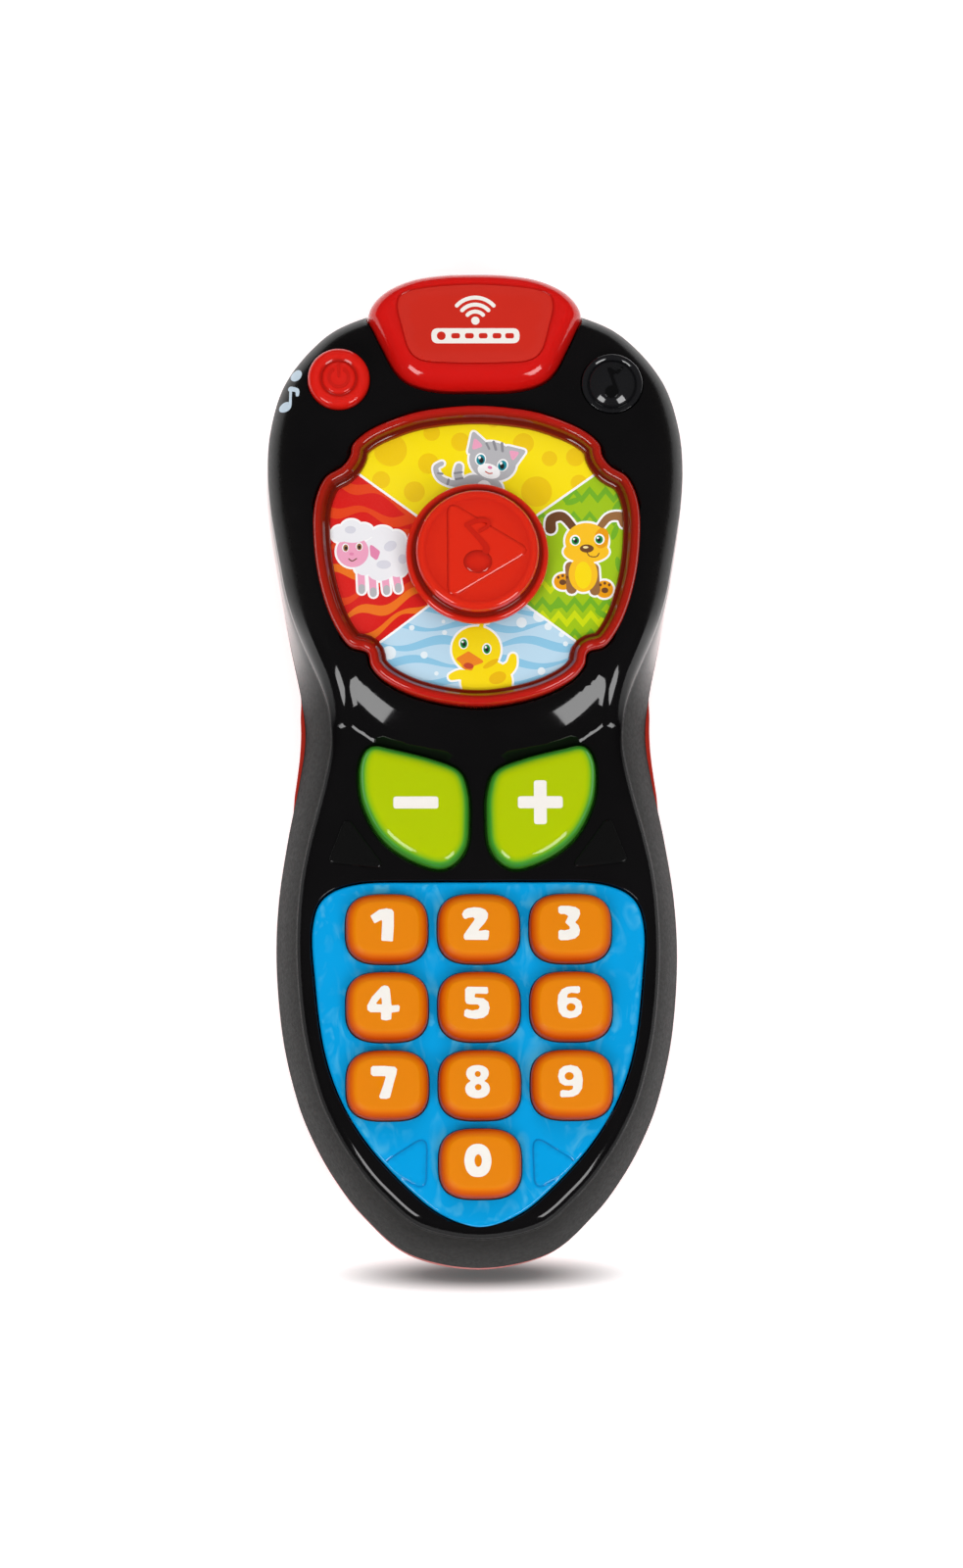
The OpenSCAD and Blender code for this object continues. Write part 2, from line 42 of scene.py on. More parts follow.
PI = math.pi

# ---------------------------------------------------------------- plane curves


def cr(a, b, c, d, t):
    return 0.5 * (2 * b + (c - a) * t + (2 * a - 5 * b + 4 * c - d) * t * t + (3 * b - a - 3 * c + d) * t ** 3)


def spline(P, n):
    P = [np.array(p, float) for p in P]
    m = len(P)
    return np.array([cr(P[i - 1], P[i], P[(i + 1) % m], P[(i + 2) % m], j / n) for i in range(m) for j in range(n)])


def open_spline(P, n):
    P = [np.array(p, float) for p in P]
    m = len(P)
    out = [cr(P[max(i - 1, 0)], P[i], P[i + 1], P[min(i + 2, m - 1)], j / n) for i in range(m - 1) for j in range(n)]
    return np.array(out + [P[-1]])


def whole(H):
    return list(H) + [[-x, y] for x, y in H[-2:0:-1]]


def normals(L):
    t = np.roll(L, -1, 0) - np.roll(L, 1, 0)
    t /= np.linalg.norm(t, axis=1)[:, None]
    return np.stack([-t[:, 1], t[:, 0]], 1)


def inset(L, d):
    d = np.broadcast_to(np.asarray(d, float), (len(L),))
    return L + normals(L) * d[:, None]


def circle(x, y, r, n=64, ry=None):
    a = np.arange(n) * 2 * PI / n
    return np.stack([x + r * np.cos(a), y + (ry or r) * np.sin(a)], 1)


def ell(x, y, rx, ry, rot=0.0, n=40):
    a = np.arange(n) * 2 * PI / n
    c, s = math.cos(math.radians(rot)), math.sin(math.radians(rot))
    u, v = rx * np.cos(a), ry * np.sin(a)
    return np.stack([x + u * c - v * s, y + u * s + v * c], 1)


def superellipse(a, b, p, n):
    t = np.arange(n) * 2 * PI / n
    c, s = np.cos(t), np.sin(t)
    return np.stack([a * np.sign(c) * np.abs(c) ** (2 / p), b * np.sign(s) * np.abs(s) ** (2 / p)], 1)


def resample(L, step):
    """Closed loop with points about step apart."""
    Q = np.vstack([L, L[:1]])
    s = np.r_[0, np.cumsum(np.linalg.norm(np.diff(Q, axis=0), axis=1))]
    n = max(8, int(round(s[-1] / step)))
    u = np.arange(n) * s[-1] / n
    return np.stack([np.interp(u, s, Q[:, k]) for k in (0, 1)], 1)


def rounded(points, r, n=6):
    """Closed polygon with its corners rounded by r."""
    P = [np.array(p, float) for p in points]
    out = []
    for i, p in enumerate(P):
        a, b = P[i - 1], P[(i + 1) % len(P)]
        u, v = (a - p) / np.linalg.norm(a - p), (b - p) / np.linalg.norm(b - p)
        ang = math.acos(max(-1, min(1, float(u @ v))))
        k = min(r / math.tan(ang / 2), 0.45 * np.linalg.norm(a - p), 0.45 * np.linalg.norm(b - p))
        for j in range(n + 1):
            t = j / n
            out.append((1 - t) ** 2 * (p + u * k) + 2 * t * (1 - t) * p + t * t * (p + v * k))
    return np.array(out)


def pchip(T):
    T = np.array(T, float)
    x, y = T[:, 0], T[:, 1]
    h = np.diff(x)
    d = np.diff(y) / h
    m = np.zeros(len(x))
    m[0], m[-1] = d[0], d[-1]
    for i in range(1, len(x) - 1):
        if d[i - 1] * d[i] > 0:
            w1, w2 = 2 * h[i] + h[i - 1], h[i] + 2 * h[i - 1]
            m[i] = (w1 + w2) / (w1 / d[i - 1] + w2 / d[i])

    def f(q):
        q = np.clip(np.asarray(q, float), x[0], x[-1])
        i = np.clip(np.searchsorted(x, q, side="right") - 1, 0, len(x) - 2)
        t = (q - x[i]) / h[i]
        return (
            y[i] * (1 + 2 * t) * (1 - t) ** 2
            + m[i] * h[i] * t * (1 - t) ** 2
            + y[i + 1] * t * t * (3 - 2 * t)
            + m[i + 1] * h[i] * t * t * (t - 1)
        )

    return f


def inside(P, L):
    """Which points P lie in polygon L (even-odd)."""
    P, L = np.asarray(P, float), np.asarray(L, float)
    lo, hi = L.min(0), L.max(0)
    out = np.zeros(len(P), bool)
    near = np.where(((P >= lo) & (P <= hi)).all(1))[0]
    if not len(near):
        return out
    x, y = P[near, 0][:, None], P[near, 1][:, None]
    a, b = L, np.roll(L, -1, 0)
    cond = (a[:, 1] > y) != (b[:, 1] > y)
    with np.errstate(divide="ignore", invalid="ignore"):
        xi = a[:, 0] + (y - a[:, 1]) * (b[:, 0] - a[:, 0]) / (b[:, 1] - a[:, 1])
    out[near] = (np.sum(cond & (x < xi), axis=1) % 2) == 1
    return out


def dist(P, L):
    """Distance from points P to closed polyline L."""
    P, L = np.asarray(P, float), np.asarray(L, float)
    a, b = L, np.roll(L, -1, 0)
    ab = b - a
    q = np.maximum((ab ** 2).sum(1), 1e-12)
    out = np.empty(len(P))
    for s in range(0, len(P), 4000):
        p = P[s : s + 4000]
        ap = p[:, None] - a[None]
        t = np.clip((ap * ab[None]).sum(2) / q, 0, 1)
        out[s : s + 4000] = np.sqrt(((ap - t[..., None] * ab[None]) ** 2).sum(2).min(1))
    return out


def hexgrid(lo, hi, step):
    xs = np.arange(lo[0], hi[0] + step, step)
    ys = np.arange(lo[1], hi[1] + step, step * 0.866)
    X, Y = np.meshgrid(xs, ys)
    X = X + (np.arange(len(ys)) % 2)[:, None] * step / 2
    return np.stack([X.ravel(), Y.ravel()], 1)


def cdt(points, loops):
    """Triangulation of points and closed constraint loops; returns (P, tris)."""
    V = [Vector((float(p[0]), float(p[1]))) for p in points]
    E = []
    for L in loops:
        n0 = len(V)
        V += [Vector((float(p[0]), float(p[1]))) for p in L]
        E += [(n0 + i, n0 + (i + 1) % len(L)) for i in range(len(L))]
    r = delaunay_2d_cdt(V, E, [], 0, 1e-5, True)
    P = np.array([(v.x, v.y) for v in r[0]])
    T = np.array([f for f in r[2] if len(f) == 3])
    a, b, c = P[T[:, 0]], P[T[:, 1]], P[T[:, 2]]
    area = (b[:, 0] - a[:, 0]) * (c[:, 1] - a[:, 1]) - (b[:, 1] - a[:, 1]) * (c[:, 0] - a[:, 0])
    T = np.where((area < 0)[:, None], T[:, ::-1], T)
    return P, T[np.abs(area) > 1e-9]


# ---------------------------------------------------------------- mesh building


class Mesh:
    """Vertices and faces in millimetres, with one number per vertex for materials."""

    def __init__(self):
        self.v, self.f, self.a, self.m, self.n = [], [], [], [], 0

    def add(self, V, F, att=0.0, mat=0):
        V = np.asarray(V, float)
        self.v.append(V)
        self.a.append(np.broadcast_to(np.asarray(att, float), (len(V),)).copy())
        self.f += [tuple(int(i) + self.n for i in f) for f in F]
        self.m += [mat] * len(F)
        self.n += len(V)
        return self

    def loft(self, rings, closed=True, low=False, high=False, att=None, flip=False, mat=0):
        n, m = len(rings[0]), len(rings)
        F = []
        k = n if closed else n - 1
        for r in range(m - 1):
            for i in range(k):
                j = (i + 1) % n
                F.append((r * n + i, r * n + j, (r + 1) * n + j, (r + 1) * n + i))
        if low:
            F.append(tuple(range(n - 1, -1, -1)))
        if high:
            F.append(tuple((m - 1) * n + i for i in range(n)))
        if flip:
            F = [f[::-1] for f in F]
        A = np.concatenate([np.broadcast_to(np.asarray(x, float), (n,)) for x in att]) if att is not None else 0.0
        return self.add(np.vstack(rings), F, A, mat)

    def make(self, name, mats, body, sharp=38, weld=True, smooth=True, replaces=()):
        me = bpy.data.meshes.new(name)
        V = np.vstack(self.v) * MM
        me.from_pydata([tuple(p) for p in V], [], self.f)
        at = me.attributes.new("tone", "FLOAT", "POINT")
        at.data.foreach_set("value", np.concatenate(self.a).astype(np.float32))
        for m in mats if isinstance(mats, (list, tuple)) else [mats]:
            me.materials.append(m)
        me.polygons.foreach_set("material_index", np.array(self.m, np.int32))
        bm = bmesh.new()
        bm.from_mesh(me)
        if weld:
            bmesh.ops.remove_doubles(bm, verts=bm.verts, dist=1.5e-6)
            bmesh.ops.dissolve_degenerate(bm, edges=bm.edges, dist=1e-7)
        bm.to_mesh(me)
        bm.free()
        if smooth:
            me.polygons.foreach_set("use_smooth", np.ones(len(me.polygons), bool))
            me.set_sharp_from_angle(angle=math.radians(sharp))
        me.validate()
        me.update()
        o = bpy.data.objects.new(name, me)
        bpy.context.scene.collection.objects.link(o)
        if body:
            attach(o, body)
        if replaces:
            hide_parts(*replaces)
        return o


def lift(L, z):
    L = np.asarray(L, float)
    return np.column_stack([L, np.broadcast_to(np.asarray(z, float), (len(L),))])


def revolve(profile, cx, cy, n=96):
    """Rings for a lathe profile of (r, z)."""
    a = np.arange(n) * 2 * PI / n
    return [np.column_stack([cx + r * np.cos(a), cy + r * np.sin(a), np.full(n, z)]) for r, z in profile]


def lathe(M, profile, cx, cy, n=96, att=None):
    """Adds a closed lathe body; the first and last profile points may be on the axis."""
    P = list(profile)
    A = list(att) if att is not None else [0.0] * len(P)
    rings = revolve([(max(r, 1e-4), z) for r, z in P], cx, cy, n)
    return M.loft(rings, att=A)


def smooth_profile(P, n=6):
    return [tuple(p) for p in open_spline(P, n)]


def pad(M, loop, g, bottom, grid=0.6, rings=(0.12, 0.3, 0.55, 0.9, 1.3), extra=None, tone=None, under=True, wall_tone=0.0):
    """A key-like solid over loop: its top is z = g(distance from the edge, x, y); straight sides to bottom."""
    L = resample(loop, 0.45)
    pts = []
    for d in rings:
        q = inset(L, d)
        q = q[inside(q, L)]
        q = q[dist(q, L) > d * 0.93]
        pts.append(q)
    G = hexgrid(L.min(0), L.max(0), grid)
    G = G[inside(G, L)]
    G = G[dist(G, L) > (rings[-1] + 0.6 * grid if rings else 0.5 * grid)]
    pts.append(G)
    P, T = cdt(np.vstack(pts), [L] + list(extra or []))
    keep = inside(P[T].mean(1), L)
    T = T[keep]
    d = dist(P, L)
    d[inside(P, L) == False] = 0
    z = g(d, P[:, 0], P[:, 1])
    M.add(np.column_stack([P, z]), T, tone(d, P[:, 0], P[:, 1]) if tone else 0.0)
    zb = g(np.zeros(len(L)), L[:, 0], L[:, 1])
    zs = [zb * (1 - t) + bottom * t for t in (0, 0.35, 0.7, 1)]
    M.loft([lift(L, q) for q in zs], flip=True, att=[wall_tone] * 4)
    if under:
        M.add(lift(L, bottom), [tuple(range(len(L) - 1, -1, -1))], wall_tone)
    return M


def dome_profile(lo, hi, r, p=2.2):
    def g(d, x, y):
        t = np.clip(d / r, 0, 1)
        return lo + (hi - lo) * (1 - (1 - t) ** p) ** (1 / p)
    return g


def capsule(a, b, w, n=8):
    a, b = np.array(a, float), np.array(b, float)
    d = b - a
    q = np.linalg.norm(d)
    if q < 1e-6:
        return circle(a[0], a[1], w / 2, 2 * n)
    t = math.atan2(d[1], d[0])
    A = [t + PI / 2 + PI * i / n for i in range(n + 1)]
    B = [t - PI / 2 + PI * i / n for i in range(n + 1)]
    return np.array([[a[0] + w / 2 * math.cos(x), a[1] + w / 2 * math.sin(x)] for x in A] + [[b[0] + w / 2 * math.cos(x), b[1] + w / 2 * math.sin(x)] for x in B])


def stroke(pts, w, smooth=0, closed=False, ends=None):
    """Polygons that together draw a line of width w; ends=(w0, w1) tapers it."""
    Q = np.array(pts, float)
    if smooth:
        Q = spline(Q, smooth) if closed else open_spline(Q, smooth)
    if closed:
        Q = np.vstack([Q, Q[:1]])
    W = np.linspace(*(ends or (w, w)), len(Q))
    out = []
    for i in range(len(Q) - 1):
        a, b, ra, rb = Q[i], Q[i + 1], W[i] / 2, W[i + 1] / 2
        out.append(circle(a[0], a[1], ra, 16))
        d = b - a
        L = np.linalg.norm(d)
        if L > 1e-6:
            nrm = np.array([-d[1], d[0]]) / L
            out.append(np.array([a - nrm * ra, b - nrm * rb, b + nrm * rb, a + nrm * ra]))
    out.append(circle(Q[-1][0], Q[-1][1], W[-1] / 2, 16))
    return out


def art(M, polys, zf, raise_mm=0.05, sink=0.1, grid=0.7, holes=(), tone=0.0, mat=0):
    """Raised flat artwork: the union of polys, laid on surface zf(x, y)."""
    A = np.vstack(polys)
    G = hexgrid(A.min(0), A.max(0), grid)
    P, T = cdt(G, list(polys) + list(holes))
    c = P[T].mean(1)
    keep = np.zeros(len(T), bool)
    for q in polys:
        keep |= inside(c, q)
    for q in holes:
        keep &= ~inside(c, q)
    T = T[keep]
    z = zf(P[:, 0], P[:, 1]) + raise_mm
    used = np.unique(T)
    m = -np.ones(len(P), int)
    m[used] = np.arange(len(used))
    V = np.column_stack([P[used], z[used]])
    T = m[T]
    M.add(V, T, tone, mat)
    E = {}
    for t in T:
        for a, b in ((t[0], t[1]), (t[1], t[2]), (t[2], t[0])):
            E[(a, b)] = 1
    rim = [e for e in E if (e[1], e[0]) not in E]
    W = []
    F = []
    for a, b in rim:
        k = len(W)
        va, vb = V[a], V[b]
        W += [va, vb, vb - [0, 0, sink + raise_mm], va - [0, 0, sink + raise_mm]]
        F.append((k + 1, k, k + 3, k + 2))
    if W:
        M.add(W, F, tone, mat)
    return M


# ---------------------------------------------------------------- materials


def rgb(h):
    h = h.lstrip("#")
    c = [int(h[i : i + 2], 16) / 255 for i in (0, 2, 4)]
    return [x / 12.92 if x <= 0.04045 else ((x + 0.055) / 1.055) ** 2.4 for x in c]


class Nodes:
    def __init__(self, name):
        self.mat = bpy.data.materials.new(name)
        self.mat.use_nodes = True
        self.t = self.mat.node_tree
        self.t.nodes.clear()
        self.out = self.t.nodes.new("ShaderNodeOutputMaterial")
        self.p = self.t.nodes.new("ShaderNodeBsdfPrincipled")
        self.t.links.new(self.p.outputs[0], self.out.inputs[0])
        self.co = self.t.nodes.new("ShaderNodeTexCoord").outputs["Object"]

    def link(self, a, b):
        self.t.links.new(a, b)

    def noise(self, scale, detail=3, rough=0.5, stretch=None, dist=0.0):
        n = self.t.nodes.new("ShaderNodeTexNoise")
        n.inputs["Scale"].default_value = scale
        n.inputs["Detail"].default_value = detail
        n.inputs["Roughness"].default_value = rough
        n.inputs["Distortion"].default_value = dist
        co = self.co
        if stretch:
            m = self.t.nodes.new("ShaderNodeMapping")
            m.inputs["Scale"].default_value = stretch
            self.link(co, m.inputs["Vector"])
            co = m.outputs[0]
        self.link(co, n.inputs["Vector"])
        return n.outputs["Fac"]

    def ramp(self, fac, stops, mode="LINEAR"):
        r = self.t.nodes.new("ShaderNodeValToRGB")
        r.color_ramp.interpolation = mode
        el = r.color_ramp.elements
        while len(el) < len(stops):
            el.new(0.5)
        for e, (p, c) in zip(el, stops):
            e.position = p
            e.color = list(c) + [1] if len(c) == 3 else c
        self.link(fac, r.inputs[0])
        return r.outputs["Color"]

    def maprange(self, fac, a, b, c, d):
        m = self.t.nodes.new("ShaderNodeMapRange")
        for i, v in zip((1, 2, 3, 4), (a, b, c, d)):
            m.inputs[i].default_value = v
        self.link(fac, m.inputs[0])
        return m.outputs[0]

    def mix(self, fac, a, b, mode="MIX"):
        m = self.t.nodes.new("ShaderNodeMix")
        m.data_type = "RGBA"
        m.blend_type = mode
        for s, v in ((m.inputs[0], fac), (m.inputs[6], a), (m.inputs[7], b)):
            if hasattr(v, "links") or isinstance(v, bpy.types.NodeSocket):
                self.link(v, s)
            else:
                s.default_value = v if isinstance(v, (int, float)) else (list(v) + [1] if len(v) == 3 else v)
        return m.outputs[2]

    def math(self, op, a, b):
        m = self.t.nodes.new("ShaderNodeMath")
        m.operation = op
        for s, v in ((m.inputs[0], a), (m.inputs[1], b)):
            if isinstance(v, bpy.types.NodeSocket):
                self.link(v, s)
            else:
                s.default_value = v
        return m.outputs[0]

    def attr(self, name="tone"):
        n = self.t.nodes.new("ShaderNodeAttribute")
        n.attribute_name = name
        return n

    def bump(self, height, strength, distance=0.0002, normal=None):
        b = self.t.nodes.new("ShaderNodeBump")
        b.inputs["Strength"].default_value = strength
        b.inputs["Distance"].default_value = distance
        self.link(height, b.inputs["Height"])
        if normal is not None:
            self.link(normal, b.inputs["Normal"])
        return b.outputs[0]

    def set(self, name, v):
        s = self.p.inputs[name]
        if isinstance(v, bpy.types.NodeSocket):
            self.link(v, s)
        elif isinstance(v, (int, float)):
            s.default_value = v
        else:
            s.default_value = list(v) + [1] if len(v) == 3 and len(s.default_value) == 4 else v
        return self


def plastic(name, color, rough=0.12, var=0.06, coat=0.0, sss=0.0, sss_r=(0.004, 0.001, 0.0006), grain=0.0, grain_scale=2600, wave=0.0, scratch=0.05, color2=None, stops=None, spec=0.5, emit=0.0, painted_reflections=None):
    """Moulded plastic: slow colour drift, handling marks in the gloss, fine grain, slight waviness. Optional stops
    colour it from the vertex tone, and an optional patch colour is painted in near edges as reflections.
    """
    N = Nodes(name)
    base = color
    drift = N.noise(55, 3, 0.6)
    lo = [max(0, c * (1 - var)) for c in color]
    hi = [min(1, c * (1 + var)) for c in color]
    col = N.ramp(drift, [(0.3, lo), (0.7, hi)])
    # the tone ramp: on the keys, buttons, frame and cap its dark stops are painted shade on edges, grooves and walls,
    # and its bright end stands for the lit tops
    if stops:
        tone = N.attr().outputs["Fac"]
        toned = N.ramp(tone, stops)
        col = N.mix(0.12, toned, col)
    if painted_reflections:
        # painted reflections: lighter watery streaks near edges (tone 1), standing for the lamps seen in the wavy
        # moulding
        reflection_paint_mask = N.maprange(N.noise(210, 2, 0.5, stretch=(1, 0.55, 1), dist=1.8), 0.5, 0.7, 0.0, 0.7)
        tn = N.attr().outputs["Fac"]
        col = N.mix(N.math("MULTIPLY", reflection_paint_mask, N.maprange(tn, 0.0, 1.0, 0.0, 1.0)), col, painted_reflections)
        # below tone 0 a darker blue is painted in, a painted shade in the grooves round the triangles
        col = N.mix(N.maprange(tn, -1.0, 0.0, 0.55, 0.0), col, rgb("#0462A6"))
    speck = N.noise(1400, 2, 0.7)
    col = N.mix(N.maprange(speck, 0.62, 0.8, 0.0, 0.10), col, [c * 0.6 for c in color])
    N.set("Base Color", col)
    marks = N.noise(600, 4, 0.7, stretch=(1, 0.12, 1), dist=0.4)
    broad = N.noise(90, 4, 0.6)
    r = N.math("ADD", N.maprange(broad, 0.3, 0.75, rough * 0.8, rough * 1.25), N.maprange(marks, 0.6, 0.78, 0.0, scratch))
    N.set("Roughness", r)
    h = N.noise(grain_scale, 2, 0.5)
    nrm = N.bump(h, 0.03 + grain, 0.00006 + 0.0001 * grain)
    if wave:
        nrm = N.bump(N.noise(95, 1, 0.4), wave, 0.0012, nrm)
    N.set("Normal", nrm)
    N.set("IOR", 1.5)
    N.set("Specular IOR Level", spec)
    if coat:
        N.set("Coat Weight", coat)
        N.set("Coat Roughness", 0.04)
    if sss:
        N.set("Subsurface Weight", sss)
        N.p.inputs["Subsurface Radius"].default_value = sss_r
        N.p.inputs["Subsurface Scale"].default_value = 1.0
    if emit:
        N.link(col, N.p.inputs["Emission Color"])
        N.set("Emission Strength", emit)
    return N.mat


def metal(name, color, rough=0.3, brush=(1, 1, 1), scale=900, dirt=0.25):
    N = Nodes(name)
    n1 = N.noise(scale, 4, 0.6, stretch=brush)
    n2 = N.noise(160, 3, 0.6)
    N.set("Base Color", N.mix(N.maprange(n2, 0.35, 0.75, 0.0, dirt), color, [c * 0.55 for c in color]))
    N.set("Metallic", 1.0)
    N.set("Roughness", N.maprange(n1, 0.3, 0.7, rough * 0.7, rough * 1.4))
    N.set("Normal", N.bump(n1, 0.12, 0.00006))
    return N.mat


def rough_solid(name, color, rough=0.6, scale=1200, bump=0.2, var=0.15):
    N = Nodes(name)
    n1 = N.noise(scale, 4, 0.6)
    n2 = N.noise(120, 3, 0.6)
    N.set("Base Color", N.ramp(n2, [(0.3, [c * (1 - var) for c in color]), (0.7, [min(1, c * (1 + var)) for c in color])]))
    N.set("Roughness", N.maprange(n1, 0.3, 0.7, rough * 0.85, min(1, rough * 1.15)))
    N.set("Normal", N.bump(n1, bump, 0.0001))
    return N.mat


def board_mat(name):
    N = Nodes(name)
    v = N.t.nodes.new("ShaderNodeTexVoronoi")
    v.feature = "DISTANCE_TO_EDGE"
    v.inputs["Scale"].default_value = 260
    N.link(N.co, v.inputs["Vector"])
    tr = N.maprange(v.outputs["Distance"], 0.05, 0.08, 1.0, 0.0)
    N.set("Base Color", N.mix(tr, rgb("#0E5A2B"), rgb("#1F8A46")))
    N.set("Roughness", N.maprange(N.noise(300), 0.3, 0.7, 0.28, 0.42))
    N.set("Normal", N.bump(tr, 0.3, 0.00005))
    return N.mat


def shell_mat():
    """Black casing: the vertex tone runs from gloss (0) to the fine matte texture of the sides (1)."""
    N = Nodes("shell_black")
    tone = N.attr().outputs["Fac"]
    drift = N.noise(60, 3, 0.6)
    gloss = N.ramp(drift, [(0.3, rgb("#090809")), (0.7, rgb("#0D0C0D"))])
    matte = N.ramp(N.noise(900, 3, 0.65), [(0.3, rgb("#151413")), (0.7, rgb("#1D1B1A"))])
    N.set("Base Color", N.mix(tone, gloss, matte))
    marks = N.noise(700, 4, 0.7, stretch=(1, 0.1, 1), dist=0.4)
    rg = N.math("ADD", N.maprange(N.noise(80, 4, 0.6), 0.3, 0.75, 0.055, 0.085), N.maprange(marks, 0.62, 0.8, 0.0, 0.05))
    rm = N.maprange(N.noise(1500, 2, 0.5), 0.3, 0.7, 0.5, 0.62)
    mixr = N.t.nodes.new("ShaderNodeMix")
    N.link(tone, mixr.inputs[0])
    N.link(rg, mixr.inputs[2])
    N.link(rm, mixr.inputs[3])
    N.set("Roughness", mixr.outputs[0])
    fine = N.noise(4200, 2, 0.6)
    amp = N.math("MULTIPLY", fine, tone)
    N.set("Normal", N.bump(amp, 0.55, 0.00007, N.bump(N.noise(120, 1, 0.4), 0.05, 0.0006)))
    N.set("IOR", 1.5)
    # below 0 the tone dulls the steep start of the shoulder
    N.set("Specular IOR Level", N.ramp(N.maprange(tone, -1.0, 1.0, 0.0, 1.0), [(0.0, (0.04,) * 3), (0.5, (0.5,) * 3), (0.7, (0.28,) * 3), (1.0, (0.22,) * 3)]))
    return N.mat


M_SHELL = shell_mat()
M_BLACKTEX = plastic("black_textured", rgb("#101010"), rough=0.16, grain=0.2, grain_scale=5200, var=0.1, spec=0.3)
M_BACK = plastic("shell_red", rgb("#B82410"), rough=0.34, grain=0.12, grain_scale=3200, spec=0.35)
M_DOOR = plastic("door_red", rgb("#B22010"), rough=0.36, grain=0.16, grain_scale=3200, spec=0.35)
# the lighter blue is painted in as watery reflections near the rim and the keys
M_PANEL = plastic("panel_blue", rgb("#00A2E6"), rough=0.06, var=0.04, wave=0.3, painted_reflections=rgb("#5CC4EC"))
# the dark stops paint shade on the keys' rounded edges and walls
M_ORANGE = plastic("key_orange", rgb("#EC8400"), rough=0.42, var=0.02, grain=0.05, scratch=0.04, spec=0.16,
                   stops=[(0.0, rgb("#A62802")), (0.3, rgb("#CC4604")), (0.68, rgb("#DE6606")), (0.9, rgb("#E87C02")), (1.0, rgb("#EA8600"))], sss=0.05, sss_r=(0.003, 0.0012, 0.0004))
# the dark green stops paint shade on the keys' rounded edges
M_GREEN = plastic("key_green", rgb("#B2CC00"), rough=0.06, var=0.04, wave=0.08,
                  stops=[(0.0, rgb("#0E8A2C")), (0.28, rgb("#24A53A")), (0.6, rgb("#8CC41C")), (0.85, rgb("#AACA06")), (1.0, rgb("#B8CE00"))], sss=0.08, sss_r=(0.001, 0.003, 0.0005))
# the dark stops paint shade into the frame's groove and walls
M_BEZEL = plastic("bezel_red", rgb("#C01A10"), rough=0.06, var=0.08, coat=0.2,
                  stops=[(0.0, rgb("#3A0E04")), (0.4, rgb("#6A1A08")), (0.7, rgb("#A01E0E")), (1.0, rgb("#C41C14"))], sss=0.12, sss_r=(0.003, 0.0005, 0.0003))
# the dark stops paint shade into the button's groove and walls
M_MID = plastic("middle_red", rgb("#E42812"), rough=0.05, var=0.04, coat=0.6,
                stops=[(0.0, rgb("#3E0C04")), (0.35, rgb("#8E180A")), (0.7, rgb("#CE1E10")), (1.0, rgb("#EA2C14"))], sss=0.12, sss_r=(0.005, 0.0008, 0.0005))
# the dark stops paint shade into the button's groove and on its sides
M_POWER = plastic("power_red", rgb("#E01E14"), rough=0.13, var=0.04, sss=0.06, spec=0.45, stops=[(0.0, rgb("#8A0E08")), (0.5, rgb("#BC160C")), (1.0, rgb("#E01E14"))])
# the dome's black is lightened to stand for its soft sheen, a painted sheen
M_NOTE = plastic("button_black", rgb("#19191B"), rough=0.08, var=0.1, coat=0.5)
# the note sign: the same black painted darker, a painted shade, so it shows on the dome
M_NOTE_SIGN_SHADED = plastic("button_black_sign_painted_shade", rgb("#050506"), rough=0.08, var=0.1, coat=0.5)
# the dark stop paints shade on the cap's lower sides and inside
M_CAP = plastic("cap_red", rgb("#DA1612"), rough=0.09, var=0.04, coat=0.1, sss=0.15, sss_r=(0.006, 0.001, 0.0006),
                stops=[(0.0, rgb("#A8140C")), (0.5, rgb("#D01812")), (1.0, rgb("#DC1612"))])
M_BADGE = plastic("badge_red", rgb("#D02A1C"), rough=0.34, var=0.03, grain=0.05, grain_scale=3000, spec=0.2)
M_WHITE = plastic("print_white", rgb("#FAF5EE"), rough=0.4, var=0.012, scratch=0.05, grain=0.04, spec=0.3)
M_MARKS = plastic("print_pale", rgb("#D2E4F2"), rough=0.45, var=0.03, grain=0.04, spec=0.3)
M_PLATE = plastic("plate_white", rgb("#E8E6E0"), rough=0.4, grain=0.1)
M_STEEL = metal("steel_zinc", rgb("#C9CACC"), 0.3, (1, 1, 1))
M_BOARD = board_mat("board_green")

